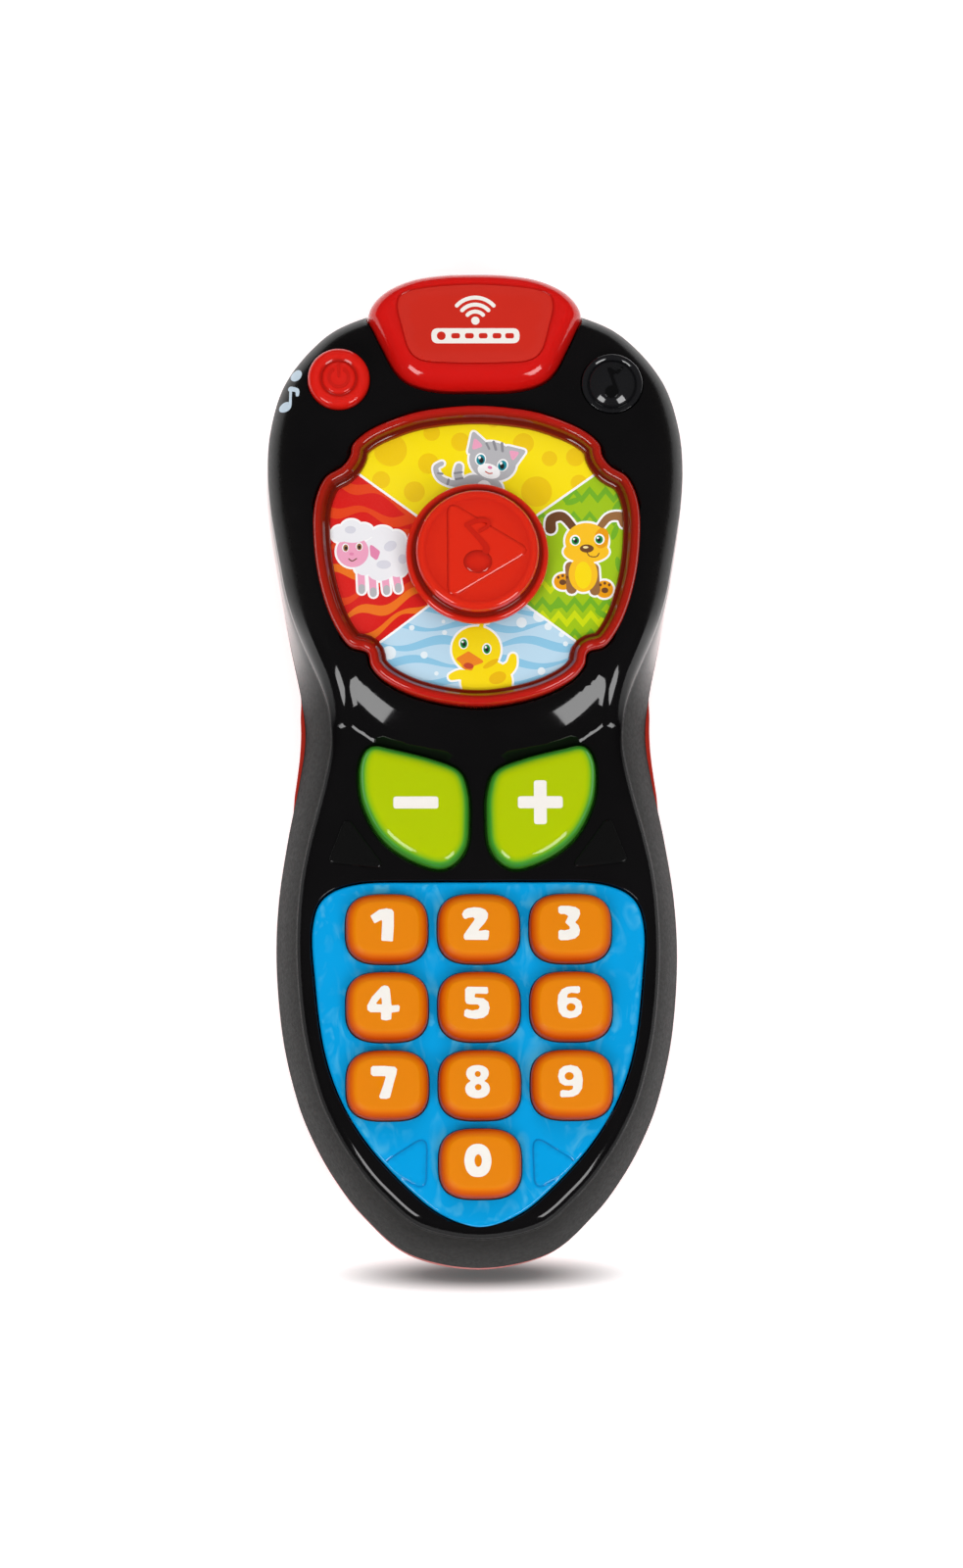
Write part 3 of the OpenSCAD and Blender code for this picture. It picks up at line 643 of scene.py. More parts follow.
SLOT_MATS = {
    "steel": M_STEEL,
    "plate_white": M_PLATE,
    "reflector": plastic("reflector_white", rgb("#F2F2EE"), rough=0.12),
    "silicone": rough_solid("silicone_pale", rgb("#D9D8D2"), 0.5, 1500, 0.08, 0.04),
    "pcb_green": M_BOARD,
    "epoxy": plastic("epoxy_black", rgb("#0B0B0B"), rough=0.14, wave=0.2),
    "cap_blue": plastic("sleeve_blue", rgb("#24346E"), rough=0.3),
    "chip": rough_solid("chip_black", rgb("#1E1E1F"), 0.5),
    "led_red": plastic("led_red", rgb("#F0837A"), rough=0.08, sss=0.4),
    "speaker_steel": metal("speaker_steel", rgb("#9B9C9F"), 0.32, (1, 1, 1)),
    "magnet": rough_solid("magnet_grey", rgb("#3A3A3D"), 0.5, 1400, 0.2),
    "cone": rough_solid("cone_black", rgb("#151515"), 0.85, 2400, 0.5),
    "switch_steel": metal("switch_steel", rgb("#B9BABD"), 0.28, (1, 8, 1)),
    "knob_black": plastic("knob_black", rgb("#141415"), rough=0.4, grain=0.3),
    "cell_blue": plastic("cell_sleeve", rgb("#2A55A8"), rough=0.22, var=0.05),
    "contact": metal("contact_nickel", rgb("#D6D6D2"), 0.2, (1, 1, 1)),
    "lead_red": plastic("lead_red", rgb("#B81C14"), rough=0.4),
    "lead_black": plastic("lead_black", rgb("#121212"), rough=0.4),
    "link": metal("tinned_copper", rgb("#BDBDB8"), 0.35, (1, 8, 1)),
    "door_red": M_DOOR,
    "badge_red": M_BADGE,
    "label": M_PLATE,
    "shell_red": M_BACK,
    "shell_black": M_SHELL,
    "panel_blue": M_PANEL,
    "key_orange": M_ORANGE,
    "key_green": M_GREEN,
    "bezel_red": M_BEZEL,
    "button_red": M_MID,
    "power_red": M_POWER,
    "button_black": M_NOTE,
    "cap_red": M_CAP,
}
slot_of = {s["node"]: s["material_slot"] for s in frame["record"]["subparts"]}
for name, o in frame["nodes"].items():
    m = SLOT_MATS.get(slot_of.get(name), M_PLATE)
    if not o.data.materials:
        o.data.materials.append(m)
    for k in range(len(o.material_slots)):
        o.material_slots[k].link = "OBJECT"
        o.material_slots[k].material = m

# ---------------------------------------------------------------- shape of the casing

front_half = [[0, -89.8], [12.6, -87.2], [20.8, -80.3], [26.2, -73.2], [30.1, -66], [32.8, -58.8], [35.2, -48], [36.3, -35],
              [35.9, -23.5], [34.2, -12], [32.2, -2], [31, 6.5], [31.7, 14], [33.7, 24], [35.5, 34.4], [37.2, 45.2], [37.9, 54], [37.3, 62],
              [34.8, 70.3], [29.6, 77.4], [23.4, 82], [12, 85.6], [0, 86.6]]
back_half = [[0, -90], [12.8, -87.4], [21, -80.4], [26.4, -73.3], [30.3, -66], [33, -58.8], [35.4, -48], [36.5, -35],
             [36.1, -23.5], [34.5, -12], [32.7, -2], [31.8, 6.5], [32.2, 14], [34, 24], [35.6, 34.4], [37.3, 45.2], [38, 54], [37.5, 62],
             [35, 70.3], [29.9, 77.4], [24.3, 82.2], [13, 87.2], [0, 88.6]]
panel_half = [[0, -83.5], [7, -81.2], [13, -76.4], [19.6, -69.2], [24.8, -60.8], [28, -51], [29.6, -38], [29.9, -29.5],
              [27.8, -24], [21.5, -21.4], [10, -21.1], [0, -21.1]]
cap_half = [[0, 67.6], [6.5, 67.7], [11.6, 69], [14.6, 71.6], [16.8, 76], [18.6, 80], [19.4, 82.2], [18.5, 84.6], [15.9, 87],
            [11.5, 88.9], [6, 89.8], [0, 90]]
badge_half = [[0, 72.6], [5, 72.7], [9.6, 73.1], [12.1, 75], [13.5, 79.5], [14.3, 83.4], [13.3, 85.8], [9, 87], [0, 87.6]]
bezel_half = [[0, 9.7], [6, 10.3], [12, 11.9], [16.8, 14.4], [19.2, 17], [20, 19.6], [23.4, 21], [26.6, 26.3], [28.8, 34],
              [29.6, 42], [29.2, 47.4], [27.4, 51.6], [24.4, 53.6], [22.9, 55.6], [22.2, 58], [18.6, 60.8], [12, 63.4], [6, 64.5], [0, 64.9]]
plus_loop = [[8, -18.9], [13.8, -16.5], [18.1, -12.7], [20.8, -7.3], [21.5, -2.2], [20.9, 1.6], [19, 3.6], [15.4, 3.1],
             [8, 1.2], [3.2, -1], [1.6, -5], [1.4, -10], [1.9, -14.9], [4.4, -18.2]]
corner_mark = [[17, -18.5], [26.3, -17.6], [26.7, -16.9], [24.4, -10.8], [23.4, -10.6], [16.6, -17.7]]
panel_mark = [[9.4, -66.2], [11, -66.6], [17.2, -70.8], [17.2, -71.6], [11, -75.6], [9.4, -76]]

DIAL_Y, KEY_Y0, KEY_PX, KEY_PY = 37.3, -29.8, 16.5, 14.12
KEY_W, KEY_L, KEY_TOP = 14.75, 12.55, 29.4
BX, BY, BR = 24.8, 69.7, 5.5
FACE_Z, DOME_Z, PART_Z, PANEL_Z = 26.2, 33.0, 15.0, 26.2

front_loop = spline(whole(front_half), 9)
back_loop = spline(whole(back_half), 9)
show = np.clip((back_loop[:, 1] + 9) / 6, 0, 1) * np.clip((16 - back_loop[:, 1]) / 6, 0, 1) + np.clip((back_loop[:, 1] - 72) / 5, 0, 1)
show = (show * show * (3 - 2 * show))[:, None]
back_loop = back_loop * show + inset(front_loop, 0.14) * (1 - show)
panel_loop = resample(spline(whole(panel_half), 12), 0.8)
cap_loop = spline(whole(cap_half), 10)
badge_loop = resample(spline(whole(badge_half), 10), 0.6)
bezel_loop = resample(spline(whole(bezel_half), 12), 0.5)
green_loop = resample(spline(plus_loop, 12), 0.5)
marks_l = resample(rounded([[16.4, -18.9], [27.2, -17.7], [24.2, -10.0], [23.0, -9.9]], 1.0), 0.3)
marks_b = resample(rounded([[9.4, -66.8], [9.7, -77.0], [18.0, -72.3]], 1.5), 0.3)

band = pchip([[-90, 4.4], [-75, 4.0], [-60, 3.6], [-20, 3.6], [-6, 4.3], [4, 4.8], [10, 4.3], [20, 3.6], [34, 3.2], [55, 2.6], [87, 2.6]])
band_z = pchip([[-90, 23], [-70, 24], [-6, 24], [6, 24.6], [14, 25.6], [30, 26.8], [60, 26], [74, 23.6], [87, 20.4]])
face_t = pchip([[-90, 25], [-80, 25.8], [-60, FACE_Z], [-10, FACE_Z], [0.6, FACE_Z], [1.3, 26.5], [2.2, 27.35], [3.3, 28.25], [4.4, 28.98], [5.6, 29.65], [7.5, 30.55], [9, 31.15], [11, 31.8], [13, 32.28], [15, 32.62], [18, 32.88], [22, DOME_Z], [46, DOME_Z],
                [58, 32.7], [66, 31.9], [74, 30.4], [80, 28.6], [84, 26.6], [87, 24.6]])
shoulder = pchip([[-90, 2.4], [0, 2.6], [10, 4.2], [24, 4.8], [66, 4.8], [78, 4.2], [87, 4]])


def sstep(t):
    t = np.clip(t, 0, 1)
    return t * t * (3 - 2 * t)


def face_flat(x, y):
    """The slope below the dial runs between two arcs: the crease over the green keys and one round the dial."""
    x, y = np.asarray(x, float), np.asarray(y, float)
    q = np.abs(x)
    q = np.where(q < 22, q, 22 + 5 * (1 - np.exp(-np.maximum(q - 22, 0) / 5))) ** 3
    lo_y, hi_y = 0.6 + 0.00054 * q, 15 + 0.00056 * q
    t = (y - lo_y) / (hi_y - lo_y)
    below = np.minimum(0.6 + (y - lo_y), 0.6)
    above = y - (hi_y - 15) * (1 - sstep((y - hi_y) / 16))
    return face_t(np.where(t < 0, below, np.where(t < 1, 0.6 + 14.4 * t, above)))


def face(x, y):
    x, y = np.asarray(x, float), np.asarray(y, float)
    z = face_flat(x, y)
    k = np.sqrt((x / 31) ** 2 + ((y - DIAL_Y) / 28.8) ** 2)
    d = (k - 1) * 29.5
    return z - 0.4 * (1 - sstep((d + 0.7) / 1.4))


def holed_shell(M, edge_rings, in_rings, holes, zf, t, grid, r=0.4, extra=(), tone_face=0.0, deep=None, sign=1, attach_tone=None):
    """A moulded plate. edge_rings run from its rim to the boundary of the face, in_rings from the same rim along the inside.
    zf(x, y) is the face, t its thickness, holes a list of loops with rounded edges of radius r. sign -1 faces down."""
    B = edge_rings[-1][:, :2]
    rs = [r] * len(holes) if np.isscalar(r) else list(r)
    rings, pts = [], []
    for H, q in zip(holes, rs):
        rings.append(H)
        for f in (0.3, 0.65, 1.0):
            c = inset(H, -q * f)
            pts.append(c[dist(c, H) > q * f * 0.9])
    G = hexgrid(B.min(0), B.max(0), grid)
    G = G[inside(G, B)]
    ok = dist(G, B) > 0.45 * grid
    for H, q in zip(holes, rs):
        ok &= ~inside(G, H)
        ok[ok] = dist(G[ok], H) > q + 0.35 * grid
    G = G[ok]
    more = [p for p in extra]
    P, T = cdt(np.vstack([G] + pts), [B] + rings + more)
    c = P[T].mean(1)
    keep = inside(c, B)
    for H in holes:
        keep &= ~inside(c, H)
    T = T[keep]
    z = zf(P[:, 0], P[:, 1])
    drop = np.zeros(len(P))
    for H, q in zip(holes, rs):
        near = (P >= H.min(0) - q).all(1) & (P <= H.max(0) + q).all(1)
        d = np.full(len(P), 9.0)
        d[near] = dist(P[near], H)
        d[near & inside(P, H)] = 0
        u = np.clip(1 - d / q, 0, 1)
        drop = np.maximum(drop, q * (1 - np.sqrt(np.maximum(0, 1 - u * u))))
    zt = z - sign * drop
    tone = tone_face(P) if callable(tone_face) else tone_face
    top = T if sign > 0 else T[:, ::-1]
    M.add(np.column_stack([P, zt]), top, tone)
    M.add(np.column_stack([P, z - sign * t]), top[:, ::-1], 1.0)
    for i, (H, q) in enumerate(zip(holes, rs)):
        zh = zf(H[:, 0], H[:, 1])
        za, zb = zh - sign * q, zh - sign * t
        M.loft([lift(H, za), lift(H, (za + zb) / 2), lift(H, zb)], flip=sign < 0, att=[0, 0, 0])
    tones = attach_tone or [0.0] * len(edge_rings)
    M.loft(edge_rings, flip=sign < 0, att=tones)
    M.loft(in_rings, flip=sign > 0, att=[1.0] * len(in_rings))
    return M


def fringe(L):
    """How glossy the side is near its upper edge, by y: 1 = the edge of the gloss is crisp."""
    return 1 - sstep((L[:, 1] - 8) / 26)


# front casing ------------------------------------------------------------
L = front_loop
Ly = L[:, 1]
bd, bz, sh = band(Ly), band_z(Ly), shoulder(Ly)
edge, tones = [], []
edge.append(lift(inset(L, 1.9), PART_Z)); tones.append(1.0)
edge.append(lift(inset(L, 0.25), PART_Z)); tones.append(1.0)
edge.append(lift(L, PART_Z + 0.25)); tones.append(1.0)
crisp = fringe(L)
inner_d = bd + sh
fx = inset(L, inner_d)
fz = face(fx[:, 0], fx[:, 1])


bulge_h = inner_d * 1.12


def bulge(z):
    """Distance from the outline at height z where a round shoulder stands on an upright side."""
    t = np.clip((z - fz + bulge_h) / bulge_h, 0, 1)
    return 0.1 * np.clip((z - PART_Z) / 12, 0, 1) + (inner_d - 0.1) * (1 - (1 - t ** 2.5) ** 0.4)


for u in (0.06, 0.14, 0.24, 0.34, 0.44, 0.54, 0.64, 0.74, 0.84, 0.92, 0.97, 1.0):
    z = PART_Z + 0.25 + (bz - PART_Z - 0.25) * (u * 1.06 - 0.06 * u * u)
    d = crisp * bd * (0.82 * u + 0.18 * u ** 3) + (1 - crisp) * bulge(z)
    edge.append(lift(inset(L, d), z))
    tones.append(crisp * 1.0 + (1 - crisp) * -0.75)
edge.append(edge[-1].copy() + [0, 0, 0.02]); tones.append(crisp * -1.0 + (1 - crisp) * -0.75)
for u in (0.06, 0.13, 0.21, 0.30, 0.4, 0.5, 0.6, 0.7, 0.8, 0.88, 0.95, 1.0):
    a = u * PI / 2
    z0 = bz + 0.02
    zz = z0 + (fz - z0) * math.sin(a) ** 0.95
    d = crisp * (bd + sh * (1 - math.cos(a)) ** 0.93) + (1 - crisp) * bulge(zz)
    edge.append(lift(inset(L, d), zz))
    tones.append(crisp * -(1 - sstep((u - 0.25) / 0.5)) + (1 - crisp) * 0.75 * (1 - sstep((u - 0.15) / 0.85)))
edge[-1] = lift(fx, fz)
inner = [lift(inset(L, 1.9), PART_Z)]
for u in (0.0, 0.5, 1.0):
    inner.append(lift(inset(L, 1.95 + (bd - 1.2) * u), PART_Z + 0.5 + (bz - PART_Z - 2.0) * u))
inner.append(lift(fx, fz - 2))
rim_d, rim_z = inner_d.copy(), fz.copy()
green_r = inset(green_loop, -0.15)
green_l = np.column_stack([-green_r[::-1, 0], green_r[::-1, 1]])
rec = [ell(0, DIAL_Y, 31 + d * 1.05, 28.8 + d, 0, 220) for d in (-0.55, -0.3, 0.0, 0.3, 0.55)]
holes = [inset(panel_loop, -0.15), green_r, green_l, inset(bezel_loop, -0.2)]
M = Mesh()
holed_shell(M, edge, inner, holes, face, 2.0, 1.15, r=[0.35, 0.45, 0.45, 0.3], extra=[r for r in rec], attach_tone=tones)
shell = M.make("front_casing", M_SHELL, None, sharp=50)

# the cap's cut-out at the end of the casing
cut = Mesh()
CL = inset(cap_loop, -0.25)
cut.loft([lift(CL, 10), lift(CL, 45)], low=True, high=True)
cutters = [cut.make("cap_cutter", M_SHELL, None, sharp=30)]
for cx, cy, r in ((BX, BY - 0.45, BR + 0.25), (-BX, BY + 0.3, BR + 0.31)):
    cut = Mesh()
    cut.loft([lift(circle(cx, cy, r, 90), 27), lift(circle(cx, cy, r, 90), 45)], low=True, high=True)
    cutters.append(cut.make("button_cutter", M_SHELL, None, sharp=30))
for c in cutters:
    bm = bmesh.new()
    bm.from_mesh(c.data)
    bmesh.ops.recalc_face_normals(bm, faces=bm.faces)
    bm.to_mesh(c.data)
    bm.free()
    mod = shell.modifiers.new("cut", "BOOLEAN")
    mod.operation, mod.solver, mod.object = "DIFFERENCE", "EXACT", c
bpy.context.view_layer.update()
dg = bpy.context.evaluated_depsgraph_get()
new = bpy.data.meshes.new_from_object(shell.evaluated_get(dg), preserve_all_data_layers=True, depsgraph=dg)
shell.modifiers.clear()
shell.data = new
new.polygons.foreach_set("use_smooth", np.ones(len(new.polygons), bool))
new.set_sharp_from_angle(angle=math.radians(46))
for c in cutters:
    bpy.data.objects.remove(c)
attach(shell, "casing")
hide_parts("front_shell")

# raised corner marks on the black face
for s, nm in ((1, "corner_mark_right"), (-1, "corner_mark_left")):
    Lm = marks_l if s > 0 else np.column_stack([-marks_l[::-1, 0], marks_l[::-1, 1]])
    M = Mesh()
    pad(M, Lm, lambda d, x, y: face(x, y) + 0.05 + 0.42 * np.sqrt(np.maximum(0, 1 - (1 - np.clip(d / 0.5, 0, 1)) ** 2)), FACE_Z - 0.6, grid=0.6, rings=(0.08, 0.2, 0.35, 0.5), under=False)
    M.make(nm, M_BLACKTEX, "casing")

# back casing ------------------------------------------------------------
L = back_loop
prof = [(0.9, 15.0), (0.12, 15.0), (0.0, 14.85), (0.0, 13.0), (0.02, 11.2), (0.14, 9.4), (0.38, 7.8), (0.72, 6.4), (1.2, 5.1), (1.85, 3.8), (2.65, 2.7), (3.6, 1.75), (4.7, 1.0), (5.9, 0.45), (7.2, 0.12), (8.4, 0.0)]
edge = [lift(inset(L, d), z) for d, z in prof]
inner = [lift(inset(L, d), z) for d, z in ((0.9, 15.0), (1.9, 15.0), (1.95, 10), (2.6, 6.5), (4.4, 3.6), (6.2, 2.4), (8.4, 2.0))]
bay = (-13.9, 13.9, -63.7, -9.0)
door_hole = resample(rounded([[bay[0], bay[2]], [bay[1], bay[2]], [bay[1], bay[3]], [bay[0], bay[3]]], 0.8), 0.8)
screws = [(28.8, -38), (25.2, 9.5), (29, 57)]
grille = [circle(5 * math.cos(a * PI / 3), DIAL_Y + 5 * math.sin(a * PI / 3), 0.9, 20) for a in range(6)]
grille += [circle(10 * math.cos(a * PI / 6), DIAL_Y + 10 * math.sin(a * PI / 6), 0.9, 20) for a in range(12)]
grille += [circle(0, DIAL_Y, 0.9, 20)]
M = Mesh()
holes = [door_hole] + grille
holed_shell(M, edge, inner, holes, lambda x, y: np.zeros(len(np.atleast_1d(x))), 2.0, 2.4, r=[0.3] + [0.2] * len(grille), sign=-1)
flank = pchip([[0.0, 7.2], [0.12, 7.2], [0.45, 5.9], [1.0, 4.7], [1.75, 3.6], [2.7, 2.65], [3.8, 1.85], [5.1, 1.2], [6.4, 0.72], [7.8, 0.38], [9.4, 0.14], [12, 0.0]])
for x, y in screws:
    for s in (1, -1):
        # screw posts, kept inside the curved flank
        rings = []
        for r, z in ((3.9, 1.7), (4.15, 2.4), (4.15, 3.2), (4.15, 4.0), (4.15, 5.2), (4.15, 6.6), (4.15, 9.0), (4.15, 11.8), (4.05, 11.9)):
            q = circle(s * x, y, r, 40)
            c = np.array([s * x, y])
            need = float(flank(z)) + 0.5
            for k in range(24):
                near = dist(q, back_loop) < need
                q = np.where(near[:, None], c + (q - c) * 0.95, q)
            rings.append(lift(q, z))
        M.loft(rings, low=True, high=True)
# battery bay: a tub that opens downward, with its end wall, partition and screw post
x0, x1, y0, y1 = bay


def wall_box(M, ax, bx, ay, by, az, bz, r=0.25):
    Lq = resample(rounded([[ax, ay], [bx, ay], [bx, by], [ax, by]], r, 4), 1.2)
    n = normals(Lq)
    M.loft([lift(Lq + n * 0.15, az), lift(Lq, az + 0.15), lift(Lq, bz - 0.15), lift(Lq + n * 0.15, bz)], low=True, high=True)


wall_box(M, x0 - 1.4, x0, y0 - 1.4, y1 + 1.4, 1.6, 14.6)
wall_box(M, x1, x1 + 1.4, y0 - 1.4, y1 + 1.4, 1.6, 14.6)
wall_box(M, x0, x1, y0 - 1.4, y0, 1.6, 14.6)
for ax, bx in ((x0, -12.8), (-8.8, 8.8), (12.8, x1)):
    wall_box(M, ax, bx, y1, y1 + 1.4, 1.6, 14.6)
for s in (1, -1):
    wall_box(M, *sorted((s * 8.8, s * 12.8)), y1, y1 + 1.4, 4.7, 14.6)
wall_box(M, x0, x1, y0, y1, 13.4, 14.6)
wall_box(M, x0, x1, -58.4, -57.2, 2.3, 13.6)
M.loft(revolve([(1.65, 9), (1.65, 2.5), (1.8, 2.3), (2.8, 2.3), (3.0, 2.5), (3.0, 13.5)], 0, -60.8, 40), flip=False)
back = M.make("back_casing", M_BACK, None, sharp=40)
cut = Mesh()
rot = math.radians(-25.9)
c0 = np.array([-32.6, 68.9])
Rm = np.array([[math.cos(rot), -math.sin(rot)], [math.sin(rot), math.cos(rot)]])
slot_l = rounded([[-4.8, -1.6], [4.8, -1.6], [4.8, 1.6], [-4.8, 1.6]], 0.6, 5)
rr = []
for dx in (-7, 7):
    rr.append(np.array([[*(c0 + Rm @ np.array([dx, p[0]])), 8.2 + p[1]] for p in slot_l]))
cut.loft(rr, low=True, high=True)
for x, y in screws:
    for s in (1, -1):
        cut.loft(revolve([(2.7, -2), (2.7, 7.0), (1.6, 7.0), (1.6, 13)], s * x, y, 48), low=True, high=True)
cutter = cut.make("slot_cutter", M_BACK, None, sharp=30)
bmc = bmesh.new(); bmc.from_mesh(cutter.data); bmesh.ops.recalc_face_normals(bmc, faces=bmc.faces); bmc.to_mesh(cutter.data); bmc.free()
mod = back.modifiers.new("cut", "BOOLEAN")
mod.operation, mod.solver, mod.object = "DIFFERENCE", "EXACT", cutter
mod.use_self = True
bpy.context.view_layer.update()
dg = bpy.context.evaluated_depsgraph_get()
new = bpy.data.meshes.new_from_object(back.evaluated_get(dg), preserve_all_data_layers=True, depsgraph=dg)
back.modifiers.clear()
back.data = new
new.polygons.foreach_set("use_smooth", np.ones(len(new.polygons), bool))
new.set_sharp_from_angle(angle=math.radians(38))
bpy.data.objects.remove(cutter)
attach(back, "casing")
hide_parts("back_shell")

# ---------------------------------------------------------------- blue panel


def panel_wave(x, y):
    d = np.clip(dist(np.column_stack([x, y]), PANEL_TOP) / 6.0, 0, 1)
    w = 0.10 * (1 - d) + 0.03
    return w * (np.sin(x * 0.55 + 1.3 * np.sin(y * 0.22)) * 0.6 + np.sin(y * 0.43 + 1.1 * np.sin(x * 0.31 + 1.0)) * 0.6)


PANEL_TOP = inset(panel_loop, 0.6)


def key_centre(i):
    if i == 0:
        return 0.0, KEY_Y0 - 3 * KEY_PY
    return ((i - 1) % 3 - 1) * KEY_PX, KEY_Y0 - ((i - 1) // 3) * KEY_PY


key_holes = []
for i in range(10):
    kx, ky = key_centre(i)
    key_holes.append(superellipse(KEY_W / 2 + 0.13, KEY_L / 2 + 0.13, 3, 96) + [kx, ky])
mark_r = marks_b
mark_l = np.column_stack([-marks_b[::-1, 0], marks_b[::-1, 1]])


def panel_face(x, y):
    x, y = np.atleast_1d(x), np.atleast_1d(y)
    P = np.column_stack([x, y])
    z = PANEL_Z - 0.12 + panel_wave(x, y)
    for Q in (mark_r, mark_l):
        near = (P >= Q.min(0) - 1.2).all(1) & (P <= Q.max(0) + 1.2).all(1)
        if near.any():
            d = dist(P[near], Q)
            ins = inside(P[near], Q)
            sd = np.where(ins, d, -d)
            zz = z[near]
            top = PANEL_Z + 0.04
            groove = 0.13 * np.exp(-((sd + 0.1) / 0.17) ** 2)
            z[near] = zz + (top - zz) * sstep((sd + 0.2) / 0.4) - groove
    return z


PL = inset(panel_loop, 0.1)
edge = [lift(inset(PL, 0.0), 22.9), lift(inset(PL, 0.0), 24.0), lift(PL, PANEL_Z - 0.75)]
for a in (15, 30, 45, 60, 75, 90):
    d = 0.55 * (1 - math.cos(math.radians(a)))
    q = inset(PL, d)
    if a == 90:
        PANEL_TOP = q
    z = PANEL_Z - 0.75 + (panel_face(*q.T) - PANEL_Z + 0.75) * math.sin(math.radians(a))
    edge.append(lift(q, z))
inner = [lift(PL, 22.9), lift(inset(PL, 1.2), 22.9), lift(PANEL_TOP + normals(PANEL_TOP) * 0.0, panel_face(*PANEL_TOP.T) - 2)]
edge[-1] = lift(PANEL_TOP, panel_face(*PANEL_TOP.T))
near_marks = [inset(Q, d) for Q in (mark_r, mark_l) for d in (-0.42, -0.26, -0.1, 0.06, 0.22)]


def panel_tone(P):
    """How much painted reflection the panel gets: near 1 beside the rim and the keys, 0 in the open parts and on the
    two triangles, and below 0 just round the triangles, where a darker blue is painted as shade in their grooves.
    """
    d = dist(P, PANEL_TOP)
    for H in key_holes:
        d = np.minimum(d, dist(P, H) + 0.4)
    t = 1 - sstep(d / 3.4)
    t = 0.15 * (1 - t) + t
    for Q in (mark_r, mark_l):
        dq = dist(P, Q)
        t[inside(P, Q)] = 0
        t = np.where(dq < 0.5, -np.exp(-(dq / 0.2) ** 2), t)
    return t


M = Mesh()
holed_shell(M, edge, inner, key_holes, panel_face, 2.0, 1.0, r=0.2, extra=near_marks, tone_face=panel_tone)
M.make("blue_panel", M_PANEL, "casing", replaces=("keypad_panel",), sharp=60)

# ---------------------------------------------------------------- number keys

UNIT = 0.031  # drawing grid of the digits, mm
# each digit: the key's centre on the grid, its outline, its openings; y runs down
DIGITS = {
    1: ((244, 187), [[148, 122], [200, 86], [240, 79], [272, 84], [284, 100], [284, 180], [278, 272], [211, 267], [217, 143], [172, 167]], []),
    2: ((771, 185), [[673, 112], [684, 90], [706, 77], [742, 71], [780, 74], [808, 86], [824, 108], [821, 135], [803, 165], [760, 212], [808, 204], [829, 209],
                     [828, 238], [822, 263], [690, 261], [682, 250], [683, 232], [718, 182], [742, 150], [747, 137], [736, 130], [710, 133], [692, 141], [682, 134]], []),
    3: ((1299, 184), [[1226, 72], [1240, 63], [1290, 64], [1327, 71], [1350, 87], [1353, 112], [1341, 140], [1322, 160], [1342, 178], [1351, 205], [1345, 235], [1322, 254],
                      [1280, 264], [1238, 265], [1226, 255], [1226, 212], [1238, 203], [1262, 207], [1293, 200], [1291, 185], [1266, 161], [1285, 123], [1262, 111], [1240, 112], [1227, 102]], []),
    4: ((248, 639), [[214, 531], [232, 523], [252, 528], [263, 545], [272, 641], [310, 638], [320, 646], [316, 676], [272, 682], [270, 722], [240, 728], [211, 722], [212, 680],
                     [150, 680], [133, 666], [132, 641], [160, 590]], [[[214, 588], [180, 632], [218, 635]]]),
    5: ((777, 636), [[694, 612], [694, 545], [708, 530], [825, 532], [828, 565], [819, 572], [752, 570], [748, 592], [800, 598], [828, 620], [835, 655], [826, 690], [800, 711],
                     [755, 718], [710, 712], [687, 700], [690, 668], [702, 660], [735, 669], [770, 662], [779, 646], [765, 633], [722, 633], [701, 628]], []),
    6: ((1303, 633), [[1300, 527], [1345, 526], [1353, 535], [1351, 562], [1338, 568], [1302, 564], [1281, 572], [1275, 593], [1325, 593], [1354, 611], [1364, 646], [1356, 685],
                      [1330, 706], [1290, 713], [1250, 703], [1228, 675], [1221, 625], [1226, 576], [1247, 544], [1276, 530]], [(1299, 648, 26, 23)]),
    7: ((249, 210), [[152, 117], [164, 107], [230, 107], [290, 112], [303, 126], [300, 150], [284, 205], [262, 291], [240, 298], [206, 296], [199, 284], [225, 215], [239, 166],
                     [166, 166], [152, 155]], []),
    8: ((780, 208), [[765, 102], [800, 108], [824, 127], [830, 155], [818, 182], [806, 194], [827, 212], [836, 240], [826, 270], [801, 288], [765, 294], [729, 288], [704, 270],
                     [694, 240], [703, 212], [724, 194], [712, 182], [700, 155], [706, 127], [730, 108]], [(767, 154, 17, 17), (769, 230, 19, 18)]),
    0: ((785, 667), [[769, 561], [806, 570], [834, 600], [847, 657], [836, 712], [808, 744], [769, 753], [730, 744], [703, 712], [691, 657], [704, 600], [732, 570]], [(771, 658, 21, 36)]),
}
DIGITS[9] = ((1307, 208), [[1296 + 1292 - x, 197 + 619 - y] for x, y in DIGITS[6][1]], [(1289, 168, 26, 23)])


def glyph(i, cx, cy):
    (ox, oy), out, open_ = DIGITS[i]
    to = lambda P: np.array([[cx + (x - ox) * UNIT, cy - (y - oy) * UNIT] for x, y in P])
    if len(out) and i in (0, 8):
        body = spline(to(out), 5)
    else:
        body = rounded(to(out), 0.24, 5)
    hs = []
    for h in open_:
        if isinstance(h, tuple):
            x, y, rx, ry = h
            hs.append(ell(cx + (x - ox) * UNIT, cy - (y - oy) * UNIT, rx * UNIT, ry * UNIT, 0, 32))
        else:
            hs.append(rounded(to(h), 0.2, 4))
    return [body], hs


def key_top(cx, cy):
    side = pchip([[0, 26.9], [0.08, 27.55], [0.2, 28.0], [0.4, 28.38], [0.7, 28.66], [1.1, 28.9], [1.45, 29.08], [1.62, 29.2], [1.85, 29.26], [2.4, 29.28]])

    def g(d, x, y):
        r2 = ((x - cx) / (KEY_W / 2)) ** 2 + ((y - cy) / (KEY_L / 2)) ** 2
        return side(d) + 0.12 * np.clip(1 - r2, 0, 1) * np.clip(d / 1.7, 0, 1)
    return g


